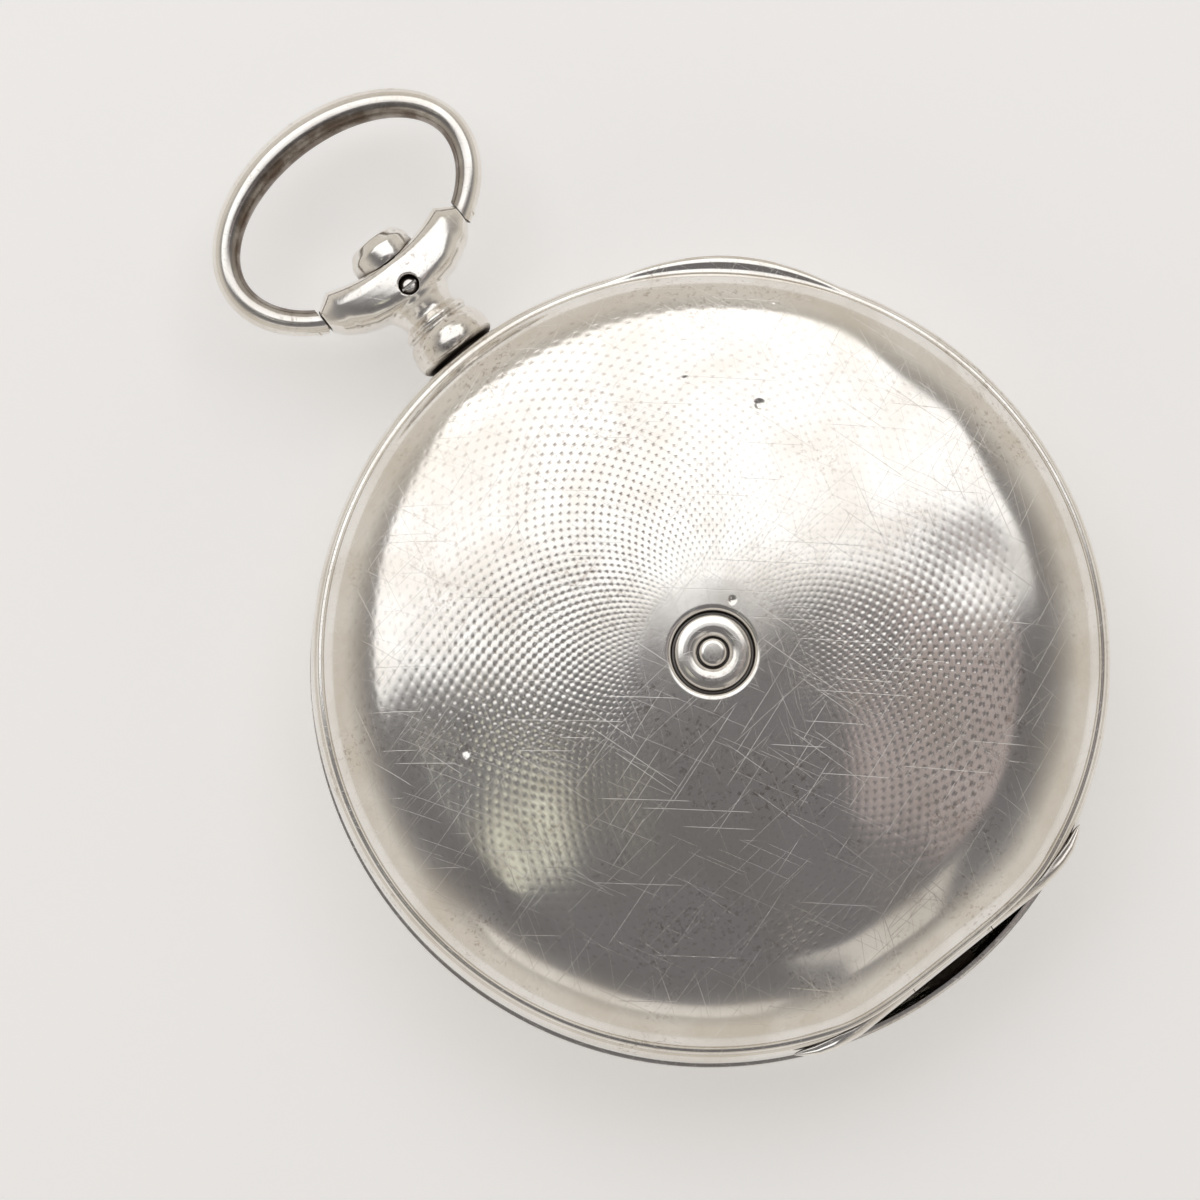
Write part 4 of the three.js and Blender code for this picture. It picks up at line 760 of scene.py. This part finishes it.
def make_front_cover():
    rim_z = FRONT_JOINT_Z - 0.05
    cover = {"rim": FRONT_RIM, "roll": 2.2, "slope": 8, "land": 6, "lip": 0.45}
    tilt = math.radians(cover["slope"])
    centre = cover["rim"] - cover["roll"]
    crown_edge = centre + cover["roll"] * math.sin(tilt)
    height = cover["lip"] + cover["roll"] * math.cos(tilt) + (crown_edge - cover["land"]) * math.tan(tilt / 2)

    def section(inset, crown):
        roll = cover["roll"] - inset
        edge = centre + roll * math.sin(tilt)
        big = (edge - cover["land"]) / math.sin(tilt)
        line = []
        for r in crown:
            if r < edge:
                fall = big - math.sqrt(big**2 - max(r - cover["land"], 0) ** 2)
                line.append((r, height - inset - fall))
        for k in range(17):
            turn = (math.pi / 2 - tilt) * (1 - k / 16)
            line.append((centre + roll * math.cos(turn), cover["lip"] + roll * math.sin(turn)))
        return line

    fine = [0, 0.5, 1.5, 3, 4.5, 5.6, *np.arange(6.0, 25.6, ENGRAVING["pitch"] / 4)]
    outer = section(0, fine)
    inner = section(0.5, np.linspace(0, 25.4, 30))[::-1]
    line = np.array(outer + [(27.46, 0.03), (27.38, 0), (27.06, 0)] + inner)
    columns = ENGRAVING["waves"] * 5
    angles = (np.arange(columns) + 0.25) / columns * TAU
    radius = np.repeat(line[:, :1], columns, 1)
    drop = np.repeat(line[:, 1:], columns, 1)
    x, y = radius * np.cos(angles), radius * np.sin(angles)
    share, cut = engraving(x, y, FRONT_WEAR)
    outside = (np.arange(len(line)) < len(outer))[:, None]
    ground = np.clip((radius - 7.3) / 0.4, 0, 1)
    drop = drop - ENGRAVING["depth"] * share * cut * ground * outside
    for at_radius in (6.7, 7.1):
        drop = drop - 0.05 * np.exp(-(((radius - at_radius) / 0.09) ** 2)) * outside
    rows = np.stack([x, y, rim_z - drop], -1)
    piece = skin("front_cover_shell", rows, wrap_rows=False, sharp=50)
    store_engraved(piece, -1, FRONT_WEAR)
    place(piece, "front", SILVER_BACK, "silver", "front_cover")
    half, radius = FRONT_KNUCKLE["half"], FRONT_KNUCKLE["radius"]
    tube = hinge_tube("front_cover_knuckle", -half, half, HINGE_Y, FRONT_JOINT_Z, radius, PIN_BORE)
    web = block("web", -half, half, HINGE_Y - 0.4, HINGE_Y + 0.3, 1.7, FRONT_JOINT_Z - 0.4)
    place(combine(tube, [web]), "front", SILVER_BAND, "silver")
    catch = block("front_cover_catch", -0.9, 0.9, 26.35, 27.1, rim_z - 0.7, rim_z - 0.25, 0.08)
    place(catch, "front", SILVER_BAND, "silver")


# The outer key hole is over the barrel, which meshes with the centre pinion.
BARREL = {"module": 0.258, "teeth": 60, "pinion": 10, "angle": 125}
BARREL_AT = polar(BARREL["module"] * (BARREL["teeth"] + BARREL["pinion"]) / 2, BARREL["angle"])


def make_cuvette():
    rim_z, chord = 10.12, -22.8
    cover = {"rim": 24.3, "roll": 1.8, "slope": 3, "lip": 0.4}
    tilt = math.radians(cover["slope"])
    centre = cover["rim"] - cover["roll"]
    crown_edge = centre + cover["roll"] * math.sin(tilt)
    height = cover["lip"] + cover["roll"] * math.cos(tilt) + crown_edge * math.tan(tilt / 2)

    def section(inset):
        roll = cover["roll"] - inset
        edge = centre + roll * math.sin(tilt)
        big = edge / math.sin(tilt)
        line = [(r, height - inset - (big - math.sqrt(big**2 - r**2))) for r in np.linspace(1.7, edge, 26)]
        for k in range(1, 13):
            turn = (math.pi / 2 - tilt) * (1 - k / 12)
            line.append((centre + roll * math.cos(turn), cover["lip"] + roll * math.sin(turn)))
        line.append((centre + roll, 0))
        return line

    outer, inner = section(0), section(0.35)[::-1]
    line = np.array(outer + inner)
    columns = 256
    angles = np.arange(columns) / columns * TAU
    radius = np.repeat(line[:, :1], columns, 1)
    up = np.repeat(line[:, 1:], columns, 1)
    limits = np.where((np.arange(len(line)) < len(outer))[:, None], -chord, -chord - 0.35)
    toward = np.maximum(-np.sin(angles), 1e-3)[None, :]
    radius = np.where((-np.sin(angles) > 0)[None, :], soft_min(radius, limits / toward, 0.2), radius)
    x, y = radius * np.cos(angles), radius * np.sin(angles)
    shell = skin("cuvette_shell", np.stack([x, y, rim_z + up], -1))
    combine(shell, (), [disc("hole", 1.7, 11, 14, BARREL_AT, 64, 0.01)])
    place(shell, "dust_cover", SILVER_INSIDE, "silver", "cuvette")
    hinge, half = CUVETTE_HINGE, CUVETTE_HINGE["half"]
    name = "cuvette_knuckle"
    tube = hinge_tube(name, -half, half, hinge["y"], hinge["z"], hinge["radius"], hinge["bore"])
    web = block("web", -half, half, -23.2, chord + 0.2, 10.2, 10.75)
    place(combine(tube, [web]), "dust_cover", SILVER_INSIDE, "silver")
    for word, at in (("middle", (0, 0)), ("barrel", BARREL_AT)):
        rim_height = rim_z + height - 0.01
        eyelet = ring(f"key_hole_rim_{word}", 1.62, 1.95, rim_height - 0.4, rim_height + 0.12, at, 72, 0.08)
        place(eyelet, "dust_cover", SILVER_INSIDE, "silver")


# ---------------------------------------------------------------- pendant, button and bow
def make_pendant():
    profile = [
        (0, 26.5), (1.95, 26.5), (1.95, 27.25), (2.6, 27.35), (2.88, 27.65), (2.95, 28.1), (2.9, 28.6),
        (2.74, 29.1), (2.5, 29.5), (2.22, 29.72), (2.3, 29.8), (2.48, 29.95), (2.44, 30.2), (2.2, 30.42),
        (1.98, 30.65), (2.0, 31.0), (2.2, 31.45), (2.42, 31.8), (2.5, 32.1), (2.45, 32.6), (2.3, 33.4),
        (1.5, 33.8), (0, 33.8),
    ]
    stem = turned("pendant_casting", profile, 96, fillet=0.1, axis="y")
    around = np.arange(64) / 64 * TAU
    cosine, sine = np.cos(around), np.sin(around)
    under_at, under = (0, 2.2, 3.3, 4.3, 5.3, YOKE_END), (31.7, 31.95, 32.15, 32.55, 33.15, 33.9)
    rows = []
    for x in np.linspace(-YOKE_END, YOKE_END, 73):
        reach = abs(x)
        upper = 35.25 + 1.1 * (min(reach, 4.7) / 4.7) ** 2 - 0.8 * max(reach - 4.7, 0) / 1.2
        lower = float(np.interp(reach, under_at, under))
        thick = 2.7 * math.sqrt(1 - (x / 7.0) ** 2)
        power = 2 / (5.0 - 2.3 * min(reach / 4.5, 1))
        y = (upper + lower) / 2 + (upper - lower) / 2 * np.sign(cosine) * np.abs(cosine) ** power
        z = STEM_Z + thick * np.sign(sine) * np.abs(sine) ** power
        rows.append(list(zip(np.full(64, x), y, z)))
    ends = [[tuple(np.mean(rows[k], 0))] * 64 for k in (0, -1)]
    yoke = skin("yoke", [ends[0]] + rows + [ends[1]], wrap_rows=False)
    well = [(0, 34.4), (2.34, 34.4), (2.34, 39), (0, 39)]
    cuts = [
        turned("bore", [(0, 25), (0.85, 25), (0.85, 37), (0, 37)], 48, fillet=0.01, axis="y"),
        turned("well", well, 64, fillet=0.01, axis="y"),
        disc("sink", 0.72, 9.2, 11.5, (0, SCREW_Y), 48, 0.01),
        disc("screw_way", 0.42, STEM_Z, 10, (0, SCREW_Y), 24, 0.01),
    ]
    for side in (-1, 1):
        x0, x1 = sorted((side * 4.8, side * 7))
        cuts.append(rod("pivot_hole", 0.62, x0, x1, PIVOT_Y, STEM_Z))
    combine(stem, [yoke], cuts)
    cast(stem, 0.075, 3)
    place(stem, "case", SILVER_CAST, "silver", "pendant")


def make_push_piece():
    profile = [
        (0, 26.05), (0.75, 26.05), (0.75, 32.45), (0.45, 32.45), (0.45, 33.9), (0.75, 33.9), (0.75, 34.95),
        (2.05, 34.95), (2.22, 35.12), (2.28, 35.5), (2.28, 36.3), (2.2, 36.5), (1.78, 37.08), (1.6, 37.18),
        (0.8, 37.15), (0.62, 36.95), (0, 36.85),
    ]
    button = turned("push_button", profile, 96, fillet=0.1, axis="y")
    place(button, "button", SILVER_CAST, "silver", "push_piece")
    profile = [(0, 7.9), (0.34, 7.9), (0.34, 9.2), (0.6, 9.2), (0.6, 9.4), (0.4, 9.56), (0, 9.6)]
    head = turned("button_screw", profile, 64, (0, SCREW_Y), 0.05)
    slot = block("slot", -1, 1, SCREW_Y - 0.1, SCREW_Y + 0.1, 9.42, 9.9, 0)
    place(combine(head, (), [slot], 0.02), "case", SILVER_CAST, "steel", "push_piece_screw")


def make_bow():
    """Oval bow of round wire, thickest at its top. Its ends are filed flat against the yoke."""
    across, above, below = 9.4, 6.1, 6.5
    middle_y = PIVOT_Y + 5.15
    reach = math.pi * 0.79
    stations, sides = 180, 48
    around = np.arange(sides) / sides * TAU
    rows = []
    for k in range(stations + 1):
        angle = math.pi / 2 + reach * (2 * k / stations - 1)
        along = above if math.sin(angle) > 0 else below
        x, y = across * math.cos(angle), middle_y + along * math.sin(angle)
        tangent = np.array((-across * math.sin(angle), along * math.cos(angle)))
        tangent /= np.linalg.norm(tangent)
        out = np.array((tangent[1], -tangent[0]))
        wire = 0.93 + (0.22 if math.sin(angle) > 0 else 0.08) * math.sin(angle) * abs(math.sin(angle))
        hoop = []
        for a in around:
            off = wire * math.cos(a)
            hoop.append((x + out[0] * off, y + out[1] * off, STEM_Z + wire * math.sin(a)))
        rows.append(hoop)
    ends = [[tuple(np.mean(rows[k], 0))] * sides for k in (0, -1)]
    bow = skin("bow_wire", [ends[0]] + rows + [ends[1]], wrap_rows=False)
    trim = block("trim", -YOKE_END - 0.1, YOKE_END + 0.1, 28, 37, 0, 15, 0)
    combine(bow, (), [trim])
    spots = corners(bow, "co") / MM
    # The inner side of the ring is painted dark: a painted reflection of the dark surroundings, put into its
    # colour.
    spread = np.hypot(spots[:, 0] / across, (spots[:, 1] - middle_y) / 6.3)
    store(bow, "painted_dark_side", np.clip((1.0 - spread) / 0.09, 0, 1))
    place(bow, "bow_ring", SILVER_CAST, "silver", "bow")
    for side, word in ((-1, "left"), (1, "right")):
        x0, x1 = sorted((side * 5.0, side * 6.8))
        pivot = rod(f"bow_pivot_{word}", 0.55, x0, x1, PIVOT_Y, STEM_Z, 40, 0.08)
        place(pivot, "bow_ring", SILVER_CAST, "silver")


make_back_cover()
make_boss()
make_back_hinge()
make_case_middle()
make_front_cover()
make_cuvette()
make_pendant()
make_push_piece()
make_bow()

CARRIED = {
    "silver": SILVER_INSIDE, "glass": GLASS, "enamel": ENAMEL, "blued_steel": BLUED, "steel": STEEL,
    "gilt": GILT, "brass": BRASS,
}


def dress_carried_nodes():
    """Softens the edges of the CAD nodes that stay and gives them their materials."""
    slots = {entry["node"]: entry["material_slot"] for entry in frame["record"]["subparts"]}
    for name, piece in frame["nodes"].items():
        if piece.hide_render:
            continue
        piece.data.shade_smooth()
        piece.data.set_sharp_from_angle(angle=math.radians(32))
        soften(piece, 0.04)
        piece.data.materials.clear()
        piece.data.materials.append(CARRIED[slots.get(name, "steel")])


dress_carried_nodes()


# ---------------------------------------------------------------- stage, light and camera
def make_stage():
    half = 0.6
    work = bmesh.new()
    corners = ((-half, -half), (half, -half), (half, half), (-half, half))
    work.faces.new([work.verts.new((x, y, -0.00005)) for x, y in corners])
    mesh = bpy.data.meshes.new("floor")
    work.to_mesh(mesh)
    work.free()
    floor = link(mesh, "floor")
    material, tree, shader, position = start_material("pale_floor")
    cloud = noise(tree, position, 0.02, 3.0)
    tree.links.new(mix(tree, cloud, (0.84, 0.835, 0.83), (0.87, 0.865, 0.86)), shader.inputs["Base Color"])
    shader.inputs["Roughness"].default_value = 0.7
    shader.inputs["Emission Color"].default_value = (1.0, 0.995, 0.99, 1)
    shader.inputs["Emission Strength"].default_value = 0.28
    mesh.materials.append(material)


def picture_direction(right, up):
    """Watch-frame direction of a step to the right and up in the picture."""
    turn = math.radians(VIEW_TURN)
    cosine, sine = math.cos(turn), math.sin(turn)
    return Vector((cosine * right - sine * up, sine * right + cosine * up, 0))


def make_camera():
    data = bpy.data.cameras.new("camera")
    camera = bpy.data.objects.new("camera", data)
    bpy.context.scene.collection.objects.link(camera)
    bpy.context.scene.camera = camera
    target = Vector((*PICTURE_MIDDLE, 9.0))
    lean = picture_direction(math.tan(math.radians(TILT[0])), math.tan(math.radians(TILT[1])))
    back = (Vector((0, 0, 1)) + lean).normalized()
    camera.location = (target + back * CAMERA_DISTANCE) * MM
    up = picture_direction(0, 1)
    side = up.cross(back).normalized()
    rise = back.cross(side)
    camera.rotation_euler = Matrix((side, rise, back)).transposed().to_euler()
    data.sensor_width = 36
    data.lens = 36 * CAMERA_DISTANCE / PICTURE_WIDTH
    data.clip_start, data.clip_end = 0.01, 10
    data.dof.use_dof = False


def make_light():
    world = bpy.data.worlds.new("studio")
    bpy.context.scene.world = world
    world.use_nodes = True
    tree = world.node_tree
    tree.nodes.clear()
    direction = add(tree, "ShaderNodeTexCoord").outputs["Generated"]
    up = add(tree, "ShaderNodeSeparateXYZ", {0: direction}).outputs[2]
    shade = mix(tree, ramp(tree, up, 0.35, 0.92), (0.66, 0.62, 0.56), (0.165, 0.16, 0.165))
    background = add(tree, "ShaderNodeBackground", {"Color": shade, "Strength": 1.0})
    output = add(tree, "ShaderNodeOutputWorld")
    tree.links.new(background.outputs[0], output.inputs[0])

    def card(name, right, up, size, radiance, colour=(1, 1, 1), spin=0.0):
        """Level sheet of light half a metre over the watch, with the given radiance."""
        light = bpy.data.lights.new(name, "AREA")
        light.shape = "RECTANGLE"
        light.size, light.size_y = size
        light.energy = radiance * math.pi * size[0] * size[1]
        light.color = colour
        made = bpy.data.objects.new(name, light)
        bpy.context.scene.collection.objects.link(made)
        spot = picture_direction(right, up)
        made.location = (spot.x, spot.y, 0.5)
        made.visible_camera = False
        made.rotation_euler = (0, 0, math.radians(VIEW_TURN + spin))

    card("main_softbox", -0.075, 0.325, (0.68, 0.54), 1.12, spin=12)
    card("window_reflection", -0.10, -0.056, (0.035, 0.055), 1.0, (1.0, 1.0, 0.80), spin=35)
    card("warm_card", 0.15, 0.01, (0.07, 0.15), 0.30, (1.0, 0.80, 0.74), spin=-5)
    card("beige_card", 0.20, -0.24, (0.13, 0.26), 0.46, (1.0, 0.95, 0.85), spin=30)
    card("low_card", -0.16, -0.52, (0.55, 0.2), 0.4, (1.0, 0.96, 0.90), spin=-8)


make_stage()
make_light()
make_camera()
bpy.context.scene.view_settings.view_transform = "Standard"
